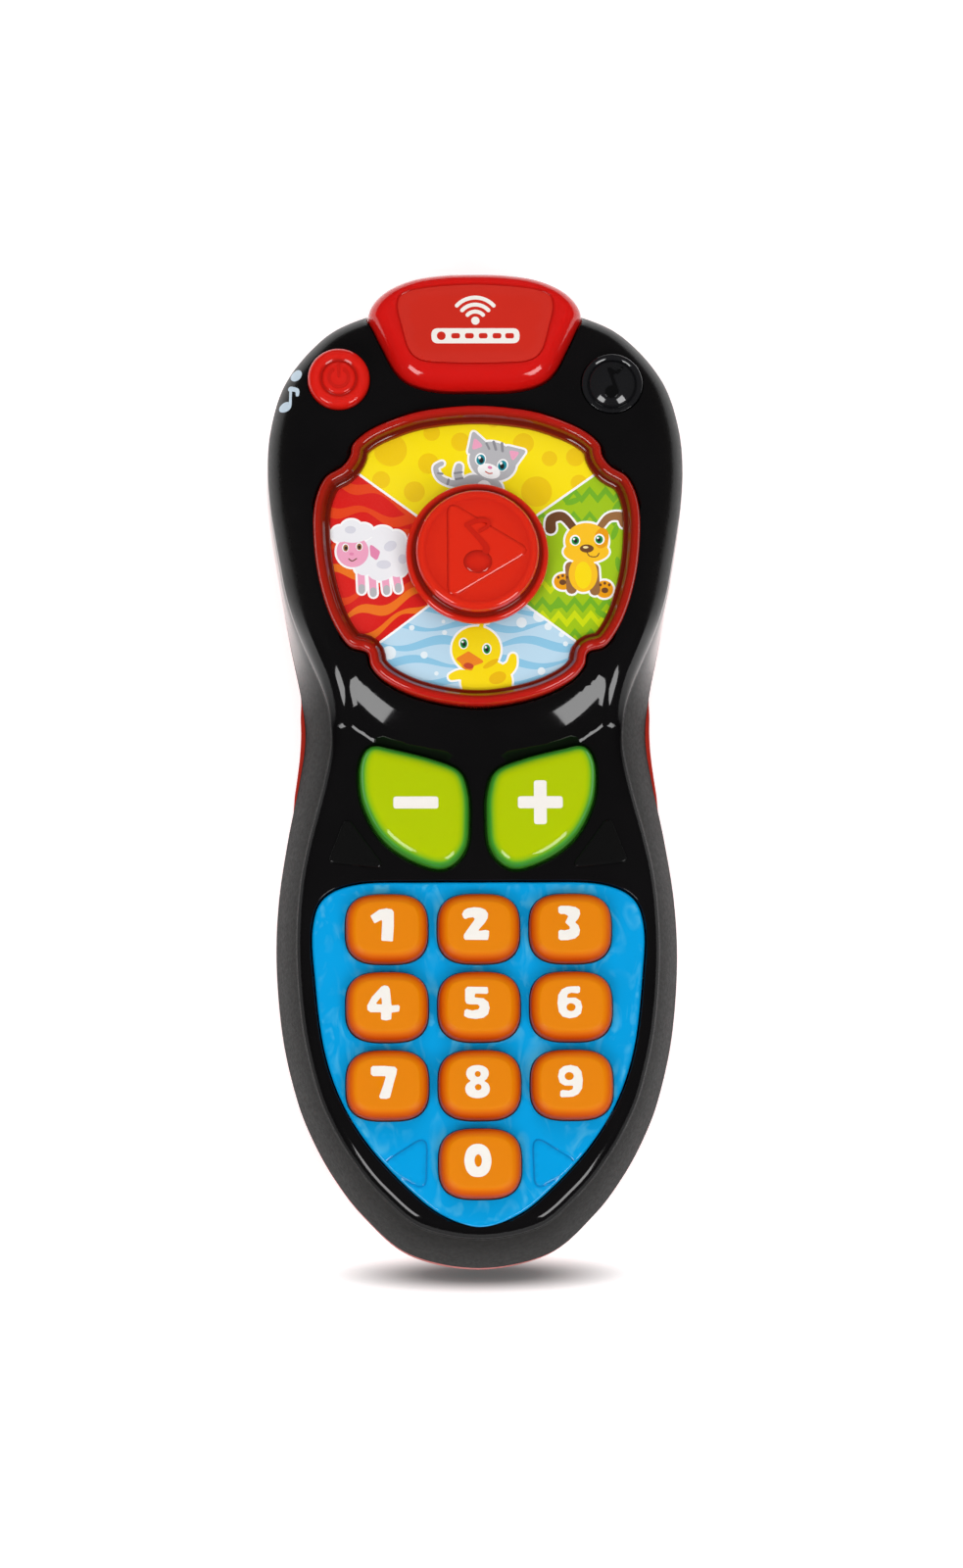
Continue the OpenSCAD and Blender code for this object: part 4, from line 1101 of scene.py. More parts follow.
for i in range(10):
    kx, ky = key_centre(i)
    Lk = superellipse(KEY_W / 2, KEY_L / 2, 3, 120) + [kx, ky]
    g = key_top(kx, ky)
    M = Mesh()
    # the tone darkens the key's rounded edge, a painted shade, and lightens that edge towards the right and top, a
    # painted highlight
    pad(M, Lk, g, 24.0, grid=0.7, rings=(0.04, 0.1, 0.2, 0.34, 0.52, 0.75, 1.05, 1.35, 1.5, 1.65, 1.85, 2.2), tone=lambda d, x, y, kx=kx, ky=ky: 0.14 + 0.86 * sstep(d / 1.8) + 0.3 * np.clip((x - kx) / 7 + 0.3 * (y - ky) / 6, 0, 1) * (1 - sstep(d / 1.8)), wall_tone=0.04)
    fl = superellipse(KEY_W / 2 + 0.6, KEY_L / 2 + 0.6, 3, 120) + [kx, ky]
    M.loft([lift(inset(fl, 0.15), 22.8), lift(fl, 22.95), lift(fl, 23.85), lift(inset(fl, 0.15), 24.0)], low=True, high=True, att=[0.1] * 4)
    M.make(f"number_key_{i}", M_ORANGE, f"key_{i}", replaces=(f"key_{i}",), sharp=50)
    M = Mesh()
    Ltop = Lk
    ink_out, ink_open = glyph(i, kx, ky)
    art(M, ink_out, lambda x, y: g(dist(np.column_stack([x, y]), Ltop), x, y), 0.045, 0.12, 0.8, holes=ink_open)
    M.make(f"digit_{i}", M_WHITE, f"key_{i}", sharp=30)

# ---------------------------------------------------------------- plus and minus keys

for s, body in ((1, "plus_key"), (-1, "minus_key")):
    Lg = inset(green_loop, 0.15)
    if s < 0:
        Lg = np.column_stack([-Lg[::-1, 0], Lg[::-1, 1]])
    cx, cy = s * 11.2, -7.2

    def g(d, x, y, cx=cx, cy=cy):
        t = np.clip(d / 2.6, 0, 1)
        z = 26.4 + 2.35 * (1 - (1 - t) ** 2.3) ** (1 / 2.0)
        r2 = ((x - cx) / 11) ** 2 + ((y - cy) / 12) ** 2
        return z + 0.45 * np.clip(1 - r2, 0, 1) * t
    M = Mesh()
    # the tone darkens the key towards its edge, a painted shade
    pad(M, Lg, g, 24.0, grid=0.7, rings=(0.05, 0.12, 0.22, 0.36, 0.55, 0.8, 1.1, 1.5, 1.95, 2.4), tone=lambda d, x, y: sstep(d / 2.1), wall_tone=0.0)
    fl = inset(green_loop if s > 0 else np.column_stack([-green_loop[::-1, 0], green_loop[::-1, 1]]), -0.75)
    M.loft([lift(inset(fl, 0.15), 22.8), lift(fl, 22.95), lift(fl, 23.8), lift(inset(fl, 0.15), 23.95)], low=True, high=True, att=[0.0] * 4)
    M.make(body + "_cap", M_GREEN, body, replaces=(body,), sharp=50)
    bars = [stroke([[cx - 2.95, cy], [cx + 2.95, cy]], 2.2)]
    bars = [rounded([[cx - 4.05, cy - 1.1], [cx + 4.05, cy - 1.1], [cx + 4.05, cy + 1.1], [cx - 4.05, cy + 1.1]], 0.55)]
    if s > 0:
        bars.append(rounded([[cx - 1.15, cy - 4.0], [cx + 1.15, cy - 4.0], [cx + 1.15, cy + 4.0], [cx - 1.15, cy + 4.0]], 0.55))
    M = Mesh()
    art(M, bars, lambda x, y, Lg=Lg, g=g: g(dist(np.column_stack([x, y]), Lg), x, y), 0.045, 0.12, 0.8)
    M.make(body + "_sign", M_WHITE, body, sharp=30)

# ---------------------------------------------------------------- dial: frame, picture, middle button

M = Mesh()
BL = bezel_loop
# third number: the tone, low in the groove and down the walls, a painted shade, and high on the lit crest
prof = [(0.25, 29.6, 0.0), (0.05, 29.8, 0.2), (0.05, 32.4, 0.8), (0.08, 33.3, 0.95), (0.28, 33.9, 1.0), (0.62, 34.25, 1.0), (1.05, 34.4, 0.9), (1.5, 34.25, 0.75), (1.85, 33.85, 0.55),
        (2.1, 33.3, 0.35), (2.4, 32.9, 0.2), (2.75, 32.75, 0.3), (3.02, 32.5, 0.5), (3.15, 32.1, 0.45), (3.2, 31.6, 0.25), (3.2, 30.0, 0.0), (3.0, 29.7, 0.0), (0.25, 29.6, 0.0)]


def safe_inset(L, d):
    q = inset(L, d)
    return q


# the frame's left and right sides are painted darker, a painted shade
side_painted_shade = 1 - 0.22 * sstep((np.abs(BL[:, 0]) - 12) / 16)
M.loft([lift(safe_inset(BL, d), z) for d, z, a in prof], att=[a * side_painted_shade for d, z, a in prof])
M.make("dial_frame", M_BEZEL, "casing", replaces=("dial_bezel",), sharp=60)

# the printed picture: one flat sheet, every colour its own faces
U0, V0 = 0.0, DIAL_Y
LABEL = inset(bezel_loop, 2.6)
HOLE = circle(0, DIAL_Y, 11.4, 72)
C = {
    "yellow": "#FFE600", "yellow2": "#F6CE00", "red": "#DC120C", "red2": "#E8420E", "orange": "#F07414", "green": "#A2C80C", "green2": "#74B420", "lime": "#CFE000",
    "sky": "#BFE0F4", "sky2": "#8FCBEA", "white": "#FFFFFF", "grey": "#B9B9BD", "grey2": "#8D8D93", "pink": "#F3A6C4", "pink2": "#E888B0", "teal": "#0E8C9C",
    "wool": "#F2F2F6", "wool2": "#DCDCE6", "gold": "#FFC61A", "gold2": "#F0A000", "brown": "#9A6A3C", "brown2": "#6E4423", "cream": "#FFE9A8", "leaf": "#0E8A3A", "beak": "#F58A1E", "beak2": "#C9472A",
    "black": "#1D1D1D", "chick": "#FFE000", "chick2": "#F2BE00", "bubble": "#EAF6FC",
}
layers = []


def put(poly, col):
    layers.append((np.asarray(poly, float) + [U0, V0], col))


def puts(polys, col):
    for q in polys:
        put(q, col)


R = 45
up = [[-21.6, 15.5], [-10.2, 7.1]], [[21.6, 15.2], [10.2, 7.1]]
lo = [[-18.6, -16.5], [-8.6, -8.9]], [[18.9, -16.4], [8.6, -8.7]]


def far(a, b, k=3.0):
    a, b = np.array(a), np.array(b)
    return b + (a - b) * k


TL, TR, BLc, BRc = far(*up[0]), far(*up[1]), far(*lo[0]), far(*lo[1])
put([TL, up[0][1], [0, 0], up[1][1], TR, [R, R * 2], [-R, R * 2]], "yellow")
put([TL, up[0][1], [0, 0], lo[0][1], BLc, [-2 * R, -R], [-2 * R, R]], "red")
put([TR, up[1][1], [0, 0], lo[1][1], BRc, [2 * R, -R], [2 * R, R]], "green")
put([BLc, lo[0][1], [0, 0], lo[1][1], BRc, [R, -2 * R], [-R, -2 * R]], "sky")


def sector(col):
    return {"yellow": 0, "red": 1, "green": 2, "sky": 3}[col]


SECT = [q for q, c in layers]


def clip_put(poly, col, sec):
    layers.append((np.asarray(poly, float) + [U0, V0], col, sec))


for x, y, r in ((-15.5, 19.7, 3.0), (-8.6, 17.2, 1.9), (-11.2, 12.0, 1.9), (-17.2, 14.2, 1.6), (-8.0, 22.9, 1.5), (-2.8, 21.2, 1.7), (8.6, 20.9, 1.9), (13.3, 18.1, 1.4), (10.9, 12.0, 2.8), (18.0, 18.4, 1.7), (18.6, 13.6, 1.5), (3.2, 25.2, 1.3), (-13.4, 24.2, 1.4), (14.6, 23.2, 1.5)):
    clip_put(circle(x, y, r, 36), "yellow2", 0)


def ribbon(xs, f, w):
    xs = np.array(xs, float)
    top = np.column_stack([xs, f(xs) + w(xs) / 2])
    bot = np.column_stack([xs, f(xs) - w(xs) / 2])[::-1]
    return np.vstack([top, bot])


xs = np.linspace(-31, -6, 60)
for k, (b, sl, am, w, col) in enumerate(((11.5, -0.42, 0.9, 1.9, "red2"), (7.6, -0.16, 0.8, 2.0, "red2"), (3.0, 0.12, 0.9, 1.6, "red2"), (-2.2, 0.1, 1.0, 1.7, "orange"), (-5.9, 0.22, 1.0, 1.5, "red2"), (-9.4, 0.34, 0.9, 1.9, "orange"), (-13.2, 0.5, 0.8, 1.6, "orange"))):
    f = lambda x, b=b, sl=sl, am=am, k=k: b + sl * (x + 18) + am * np.sin(x * 0.62 + k * 1.7)
    wf = lambda x, w=w, k=k: w * (0.45 + 0.55 * np.abs(np.sin(x * 0.21 + k)))
    clip_put(ribbon(xs, f, wf), col, 1)
for b, col, w in ((11.4, "green2", 1.4), (7.0, "green2", 1.1), (-5.4, "lime", 1.3), (-8.8, "green2", 1.3), (-11.4, "lime", 1.4), (-14.6, "green2", 1.2)):
    zx = np.arange(6, 33, 1.45)
    zy = b + np.where(np.arange(len(zx)) % 2 == 0, 0.9, -0.9)
    clip_put(np.vstack([np.column_stack([zx, zy + w / 2]), np.column_stack([zx, zy - w / 2])[::-1]]), col, 2)
for x, y, a in ((17.5, 10.2, 20), (25.0, 4.5, 70), (25.6, -1.5, 100), (12.4, 5.0, 40), (14.4, -9.0, 10), (22.6, -10.6, 150), (25.4, 9.2, 60)):
    clip_put(ell(x, y, 1.5, 0.55, a, 24), "green2", 2)
xs = np.linspace(-24, 24, 90)
for k, (b, am, w) in enumerate(((-10.0, 0.6, 0.9), (-12.7, 0.7, 1.5), (-16.0, 0.8, 1.7), (-19.4, 0.7, 1.6), (-22.6, 0.6, 1.5), (-25.4, 0.5, 1.3))):
    f = lambda x, b=b, am=am, k=k: b + am * np.sin(x * 0.42 + k * 2.1)
    wf = lambda x, w=w, k=k: w * (0.35 + 0.65 * np.abs(np.sin(x * 0.16 + k * 1.3)))
    clip_put(ribbon(xs, f, wf), "sky2", 3)
for x, y, r in ((8.0, -12.1, 0.95), (11.2, -10.9, 1.1), (12.8, -12.8, 0.7), (15.6, -12.9, 0.4), (15.2, -14.3, 0.5), (15.9, -16.0, 0.45), (-15.9, -17.6, 1.25), (-9.6, -18.0, 0.65), (-5.9, -13.9, 0.45), (-6.1, -11.9, 0.35), (-11.8, -13.0, 0.5), (11.5, -21.0, 0.7), (-7.4, -21.4, 0.4), (9.6, -24.2, 0.5)):
    clip_put(circle(x, y, r, 26), "bubble", 3)
W = 0.42
for a, b in ((far(*up[0], 2), up[0][1]), (far(*up[1], 2), up[1][1]), (far(*lo[0], 2), lo[0][1]), (far(*lo[1], 2), lo[1][1])):
    puts(stroke([a, b], W), "white")


def sticker(parts, edge=0.38):
    """White-edged figure from parts: (kind, args, colour, outlined)."""
    drawn = []
    for kind, args, col, out in parts:
        if kind == "e":
            x, y, rx, ry, rot = args
            drawn.append(([ell(x, y, rx, ry, rot, 44)], col))
            if out:
                layers.append((ell(x, y, rx + edge, ry + edge, rot, 44) + [U0, V0], "white"))
        elif kind == "s":
            pts, w, ends = args
            drawn.append((stroke(pts, w, 5 if len(pts) > 2 else 0, False, ends), col))
            if out:
                e = (ends[0] + 2 * edge, ends[1] + 2 * edge) if ends else None
                for q in stroke(pts, w + 2 * edge, 5 if len(pts) > 2 else 0, False, e):
                    layers.append((q + [U0, V0], "white"))
        elif kind == "p":
            pts, rr_ = args
            q = rounded(pts, rr_)
            drawn.append(([q], col))
            if out:
                if ((np.roll(q[:, 0], -1) - q[:, 0]) * (np.roll(q[:, 1], -1) + q[:, 1])).sum() > 0:
                    q = q[::-1]
                layers.append((inset(q, -edge) + [U0, V0], "white"))
    for polys, col in drawn:
        for q in polys:
            layers.append((q + [U0, V0], col))


# a kitten
sticker([
    ("s", ([[-2.2, 13.4], [-4.6, 13.6], [-6.6, 14.6], [-7.3, 16.4], [-6.2, 17.2]], 1.0, (1.3, 0.8)), "grey", True),
    ("e", (-0.6, 12.9, 2.6, 2.2, 20), "grey", True),
    ("s", ([[-2.4, 13.2], [-3.3, 15.0], [-3.1, 16.6]], 1.5, (1.7, 1.3)), "grey", True),
    ("e", (2.6, 12.2, 2.2, 2.4, 0), "grey", True),
    ("p", ([[-0.6, 23.4], [-1.6, 18.8], [2.6, 20.4]], 0.5), "grey", True),
    ("p", ([[9.2, 19.6], [5.2, 20.6], [6.6, 16.0]], 0.5), "grey", True),
    ("e", (3.0, 17.6, 4.3, 3.55, -18), "grey", True),
    ("p", ([[-0.3, 22.1], [-0.8, 19.6], [1.4, 20.4]], 0.4), "pink", False),
    ("p", ([[8.0, 19.3], [5.9, 19.7], [6.6, 17.5]], 0.4), "pink", False),
    ("s", ([[3.2, 21.2], [3.6, 19.8]], 0.5, None), "grey2", False),
    ("s", ([[4.7, 20.9], [4.8, 19.5]], 0.5, None), "grey2", False),
    ("s", ([[1.9, 20.9], [2.4, 19.9]], 0.4, None), "grey2", False),
    ("e", (1.4, 12.6, 1.4, 1.5, 0), "white", False),
    ("e", (2.3, 15.8, 2.1, 1.35, -18), "white", False),
    ("e", (0.8, 18.0, 1.0, 1.15, -10), "white", False), ("e", (0.85, 17.9, 0.78, 0.95, -10), "teal", False), ("e", (0.95, 17.8, 0.42, 0.55, 0), "black", False), ("e", (0.62, 18.3, 0.26, 0.28, 0), "white", False),
    ("e", (4.8, 16.9, 1.0, 1.15, -20), "white", False), ("e", (4.75, 16.8, 0.78, 0.95, -20), "teal", False), ("e", (4.7, 16.7, 0.42, 0.55, 0), "black", False), ("e", (4.5, 17.25, 0.26, 0.28, 0), "white", False),
    ("e", (2.5, 16.45, 0.42, 0.28, -18), "pink2", False),
    ("s", ([[1.7, 15.7], [2.3, 15.35], [2.9, 15.4]], 0.22, None), "beak2", False),
    ("s", ([[-5.2, 13.4], [-5.0, 14.2]], 0.45, None), "grey2", False), ("s", ([[-6.9, 15.4], [-6.1, 15.3]], 0.4, None), "grey2", False),
    ("s", ([[-3.9, 15.4], [-2.6, 15.6]], 0.4, None), "grey2", False), ("s", ([[-3.7, 14.3], [-2.5, 14.5]], 0.4, None), "grey2", False),
])
# a lamb
sticker([
    ("s", ([[-20.9, -3.0], [-20.8, -6.1]], 1.3, None), "pink", True), ("s", ([[-18.9, -3.6], [-18.7, -6.7]], 1.3, None), "pink", True),
    ("s", ([[-16.6, -3.4], [-16.3, -6.3]], 1.3, None), "pink", True), ("s", ([[-14.7, -2.8], [-14.2, -5.9]], 1.3, None), "pink", True),
    ("e", (-17.2, 0.2, 3.9, 3.7, 0), "wool", True), ("e", (-13.7, 0.8, 1.7, 2.1, 0), "wool", True), ("e", (-14.6, 3.2, 1.7, 1.6, 0), "wool", True), ("e", (-17.0, 4.0, 2.0, 1.6, 0), "wool", True),
    ("e", (-14.4, -2.0, 1.8, 1.7, 0), "wool", True), ("e", (-17.4, -3.0, 2.2, 1.4, 0), "wool", True), ("e", (-20.4, -1.7, 1.7, 1.7, 0), "wool", True),
    ("e", (-22.4, 1.0, 2.9, 2.9, 0), "pink", True),
    ("e", (-24.6, 4.2, 1.6, 1.5, 0), "wool", True), ("e", (-22.6, 5.3, 1.8, 1.5, 0), "wool", True), ("e", (-20.4, 4.6, 1.7, 1.5, 0), "wool", True), ("e", (-22.4, 3.8, 2.6, 1.2, 0), "wool", True),
    ("p", ([[-19.4, 2.6], [-17.4, 1.0], [-18.0, -0.8], [-19.2, 0.2]], 0.5), "pink2", False),
    ("e", (-15.6, 2.0, 1.2, 0.9, 30), "wool2", False), ("e", (-16.8, -1.4, 1.3, 0.8, 0), "wool2", False), ("e", (-13.4, -0.4, 0.8, 0.9, 0), "wool2", False), ("e", (-22.8, 5.0, 1.0, 0.7, 0), "wool2", False),
    ("e", (-23.7, 1.7, 0.62, 0.78, 0), "white", False), ("e", (-23.65, 1.65, 0.46, 0.62, 0), "brown", False), ("e", (-23.6, 1.6, 0.24, 0.34, 0), "black", False),
    ("e", (-21.2, 1.9, 0.62, 0.78, 0), "white", False), ("e", (-21.2, 1.85, 0.46, 0.62, 0), "brown", False), ("e", (-21.2, 1.8, 0.24, 0.34, 0), "black", False),
    ("e", (-22.6, 0.55, 0.42, 0.28, 0), "pink2", False),
    ("s", ([[-23.1, -0.35], [-22.5, -0.75], [-21.7, -0.3]], 0.2, None), "brown2", False),
    ("s", ([[-20.8, -5.6], [-20.8, -6.2]], 1.2, None), "grey", False), ("s", ([[-18.7, -6.2], [-18.7, -6.8]], 1.2, None), "grey", False),
    ("s", ([[-16.3, -5.8], [-16.3, -6.4]], 1.2, None), "grey", False), ("s", ([[-14.2, -5.4], [-14.2, -6.0]], 1.2, None), "grey", False),
])
# a puppy
sticker([
    ("e", (15.6, -4.6, 1.7, 1.5, 0), "gold2", True), ("e", (23.0, -6.0, 1.6, 1.6, 0), "gold2", True),
    ("s", ([[16.9, -1.9], [17.1, -5.9]], 1.9, None), "brown", True), ("s", ([[21.1, -2.2], [21.3, -6.2]], 1.9, None), "brown", True),
    ("e", (19.2, -3.2, 2.6, 3.3, 0), "gold", True),
    ("s", ([[17.6, 5.2], [15.6, 7.4], [13.6, 6.9], [13.4, 5.2]], 1.8, (1.4, 2.0)), "brown2", True),
    ("s", ([[22.2, 5.2], [23.9, 7.2], [26.0, 7.4], [26.8, 6.2]], 1.6, (1.2, 1.9)), "brown", True),
    ("e", (19.9, 2.8, 3.9, 3.4, 0), "gold", True), ("e", (19.8, 0.9, 4.1, 2.0, 0), "gold", True),
    ("e", (22.6, 3.4, 1.3, 1.9, -10), "gold2", False),
    ("e", (19.2, -3.4, 1.5, 2.5, 0), "chick", False),
    ("e", (17.8, 3.0, 0.95, 1.0, 0), "white", False), ("e", (17.85, 2.95, 0.68, 0.75, 0), "leaf", False), ("e", (17.9, 2.9, 0.34, 0.4, 0), "black", False), ("e", (17.6, 3.25, 0.2, 0.2, 0), "white", False),
    ("e", (22.2, 3.2, 0.95, 1.0, 0), "white", False), ("e", (22.15, 3.15, 0.68, 0.75, 0), "leaf", False), ("e", (22.1, 3.1, 0.34, 0.4, 0), "black", False), ("e", (21.9, 3.45, 0.2, 0.2, 0), "white", False),
    ("e", (19.9, 1.5, 1.25, 0.75, 0), "brown2", False), ("e", (19.7, 1.72, 0.5, 0.22, 0), "cream", False),
    ("s", ([[19.9, 0.9], [20.4, 0.1], [21.6, 0.0], [22.1, 0.6]], 0.2, None), "brown2", False),
    ("e", (15.5, -4.7, 0.62, 0.52, 0), "brown2", False), ("e", (14.7, -3.8, 0.25, 0.28, 0), "brown2", False), ("e", (15.5, -3.5, 0.25, 0.28, 0), "brown2", False), ("e", (16.3, -3.8, 0.25, 0.28, 0), "brown2", False),
    ("e", (23.1, -6.2, 0.62, 0.52, 0), "brown2", False), ("e", (22.3, -5.2, 0.25, 0.28, 0), "brown2", False), ("e", (23.1, -4.9, 0.25, 0.28, 0), "brown2", False), ("e", (23.9, -5.2, 0.25, 0.28, 0), "brown2", False),
])
# a duckling
sticker([
    ("e", (1.6, -22.9, 4.6, 4.0, 0), "chick", True),
    ("s", ([[-1.2, -22.2], [-3.0, -21.6], [-4.6, -22.0]], 1.9, (2.4, 1.3)), "chick", True),
    ("s", ([[4.6, -21.2], [6.0, -20.0], [6.4, -18.4]], 1.9, (2.6, 1.3)), "chick", True),
    ("s", ([[0.6, -13.2], [1.0, -12.1], [1.9, -11.9]], 0.7, (0.9, 0.4)), "chick", True),
    ("e", (-0.2, -17.0, 4.4, 4.2, 0), "chick", True),
    ("e", (3.6, -22.2, 1.6, 1.1, 20), "chick2", False),
    ("e", (2.4, -19.6, 1.6, 0.5, 30), "chick2", False),
    ("p", ([[-4.0, -18.7], [-1.6, -17.3], [1.4, -19.3], [-0.6, -20.0], [-1.0, -20.9], [-2.6, -20.6], [-3.0, -19.6]], 0.4), "beak", False),
    ("e", (-1.6, -20.0, 0.9, 0.55, -10), "beak2", False),
    ("e", (-2.5, -15.9, 0.85, 1.05, 0), "white", False), ("e", (-2.45, -15.95, 0.62, 0.82, 0), "leaf", False), ("e", (-2.4, -16.0, 0.32, 0.44, 0), "black", False), ("e", (-2.65, -15.6, 0.2, 0.22, 0), "white", False),
    ("e", (1.7, -16.9, 0.85, 1.05, 0), "white", False), ("e", (1.7, -16.95, 0.62, 0.82, 0), "leaf", False), ("e", (1.7, -17.0, 0.32, 0.44, 0), "black", False), ("e", (1.5, -16.6, 0.2, 0.22, 0), "white", False),
])

loops = [LABEL, HOLE] + [l[0] for l in layers]
lo_b, hi_b = LABEL.min(0) - 0.5, LABEL.max(0) + 0.5
# keep only outlines that meet the sheet
loops = [q for q in loops if (q.max(0) > lo_b).all() and (q.min(0) < hi_b).all()]
G = hexgrid(lo_b, hi_b, 2.2)
P, T = cdt(G[inside(G, LABEL)], loops)
cen = P[T].mean(1)
keep = inside(cen, LABEL) & ~inside(cen, HOLE)
T, cen = T[keep], cen[keep]
names = list(C)
colour = np.zeros(len(T), int)
sect = np.full(len(T), -1)
for k, l in enumerate(layers):
    m = inside(cen, l[0])
    if k < 4:
        sect[m] = k
    if len(l) > 2:
        m &= sect == l[2]
    colour[m] = names.index(l[1])
used = np.unique(T)
remap = -np.ones(len(P), int)
remap[used] = np.arange(len(used))
Pz = np.column_stack([P[used], np.full(len(used), 31.65)]) * MM
me = bpy.data.meshes.new("picture_sheet")
me.from_pydata([tuple(p) for p in Pz], [], [tuple(int(remap[i]) for i in t) for t in T])
ca = me.color_attributes.new("paint", "FLOAT_COLOR", "CORNER")
pal = np.array([rgb(C[n]) + [1.0] for n in names])
ca.data.foreach_set("color", np.repeat(pal[colour], 3, axis=0).astype(np.float32).ravel())
N = Nodes("picture_print")
paint = N.attr("paint").outputs["Color"]
dots = N.t.nodes.new("ShaderNodeTexVoronoi")
dots.inputs["Scale"].default_value = 3800
N.link(N.co, dots.inputs["Vector"])
ink = N.mix(N.maprange(dots.outputs["Distance"], 0.2, 0.7, 0.0, 0.006), paint, (1, 1, 1))
ink = N.mix(N.maprange(N.noise(70, 3), 0.35, 0.7, 0.0, 0.015), ink, (0.75, 0.7, 0.6))
N.set("Base Color", ink)
N.set("Roughness", N.maprange(N.noise(500, 3), 0.3, 0.7, 0.42, 0.55))
N.set("Normal", N.bump(N.noise(1800, 3), 0.05, 0.00005))
N.set("Specular IOR Level", 0.22)
me.materials.append(N.mat)
# give the sheet its thickness
bm = bmesh.new()
bm.from_mesh(me)
bmesh.ops.recalc_face_normals(bm, faces=bm.faces)
if bm.faces[:] and bm.faces[0].normal.z < 0:
    bmesh.ops.reverse_faces(bm, faces=bm.faces)
rim = [e for e in bm.edges if len(e.link_faces) == 1]
ext = bmesh.ops.extrude_edge_only(bm, edges=rim)
for v in [g_ for g_ in ext["geom"] if isinstance(g_, bmesh.types.BMVert)]:
    v.co.z -= 0.0002
bm.to_mesh(me)
bm.free()
sheet = bpy.data.objects.new("picture_sheet", me)
bpy.context.scene.collection.objects.link(sheet)
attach(sheet, "casing")
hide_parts("picture_label")

# middle button
M = Mesh()
# third number: the tone, low in the groove and on the walls, a painted shade, and high on the crest and the top
prof = [(9.6, 24.0, 0), (11.9, 24.0, 0), (11.9, 25.2, 0), (11.1, 25.2, 0), (11.1, 33.5, 0), (12.35, 33.6, 0.5), (12.65, 33.75, 0.7), (12.85, 34.1, 0.85), (12.88, 34.5, 0.95), (12.7, 34.95, 1.0),
        (12.4, 35.2, 0.9), (12.05, 35.25, 0.65), (11.75, 35.1, 0.38), (11.5, 35.0, 0.22), (11.28, 35.1, 0.22), (11.2, 35.6, 0.28), (11.15, 36.4, 0.4), (11.08, 37.1, 0.6), (10.98, 37.5, 0.8), (10.8, 37.82, 0.92), (10.5, 38.03, 0.97), (10.1, 38.12, 0.97),
        (9.7, 38.1, 0.88), (9.4, 38.0, 0.8), (9.1, 37.95, 0.86), (7.5, 37.97, 0.95), (5.5, 37.98, 0.98), (3.0, 37.99, 1.0), (1.2, 38.0, 1.0), (0, 38.0, 1.0)]
lathe(M, [(r, z) for r, z, a in prof], 0, DIAL_Y, 128, [a for r, z, a in prof])
inner_p = [(9.6, 24.0, 0), (9.6, 35.6, 0), (8.6, 36.8, 0), (0, 36.8, 0)]
M.loft(revolve([(max(r, 1e-4), z) for r, z, a in inner_p], 0, DIAL_Y, 128), flip=True)
M.make("middle_button_top", M_MID, "middle_button", replaces=("middle_button",), sharp=50)
# raised play triangle, and a note in it
tri = rounded([[-5.55, 9.3], [-5.55, -9.3], [9.9, -0.1]], 1.6, 10) + [0, DIAL_Y]
tri_in = rounded([[-4.55, 7.0], [-4.55, -6.7], [7.2, 0.2]], 1.2, 10) + [0, DIAL_Y]
M = Mesh()
facet = pchip([[0, 0], [0.06, 0.08], [0.34, 0.28], [0.45, 0.32], [0.9, 0.33]])
# the triangle's rim is painted darker, most on its left edge, a painted shade
pad(M, tri, lambda d, x, y: 37.96 + facet(d), 37.8, grid=1.2, rings=(0.06, 0.18, 0.34, 0.45, 0.6, 0.9), tone=lambda d, x, y: 0.9 + 0.1 * sstep(d / 0.7) - 0.25 * (x < -4.2) * (1 - sstep(d / 0.6)), under=False, wall_tone=0.6)
o = M.make("middle_mark", M_MID, "middle_button", sharp=60)


def bevel(o, w, seg=3, angle=35):
    b = o.modifiers.new("round", "BEVEL")
    b.width, b.segments, b.limit_method, b.angle_limit = w * MM, seg, "ANGLE", math.radians(angle)
    b.harden_normals = False
    return b


def note(cx, cy, k):
    """A single quaver."""
    q = [ell(cx - 0.25 * k, cy - 2.0 * k, 1.35 * k, 1.15 * k, 20, 32)]
    q += stroke([[cx + 0.72 * k, cy - 1.8 * k], [cx - 0.7 * k, cy + 2.6 * k]], 0.62 * k)
    q += stroke([[cx - 0.7 * k, cy + 2.6 * k], [cx + 0.6 * k, cy + 1.9 * k], [cx + 1.9 * k, cy + 3.0 * k]], 0.62 * k, 4, False, (0.7 * k, 0.45 * k))
    return q


M = Mesh()
head = ell(0.0, DIAL_Y - 2.2, 2.6, 2.15, 0, 48)
knob = pchip([[0, 0], [0.06, 0.1], [0.25, 0.22], [0.55, 0.3], [1.0, 0.3], [3, 0.16]])
# the note's head is painted darker, most at its edge, a painted shade; its tail is painted a little darker too
pad(M, head, lambda d, x, y: 38.27 + knob(d), 38.2, grid=0.5, rings=(0.06, 0.14, 0.25, 0.4, 0.6, 0.85), tone=lambda d, x, y: 0.56 + 0.3 * sstep(d / 1.6), under=False, wall_tone=0.3)
tail = stroke([[1.45, DIAL_Y - 0.3], [1.3, DIAL_Y + 0.8], [-2.0, DIAL_Y + 4.5]], 0.8, 5, False, (1.3, 0.65))
tail += stroke([[-2.0, DIAL_Y + 4.5], [0.2, DIAL_Y + 5.3], [2.0, DIAL_Y + 5.0], [1.6, DIAL_Y + 4.1], [0.4, DIAL_Y + 3.4]], 0.75, 5, False, (0.8, 0.6))
art(M, tail, lambda x, y: np.full(len(x), 38.28), 0.26, 0.1, 0.5, tone=0.74)
o = M.make("middle_note", M_MID, "middle_button", sharp=30)
bevel(o, 0.2, 3)

# ---------------------------------------------------------------- shoulder buttons

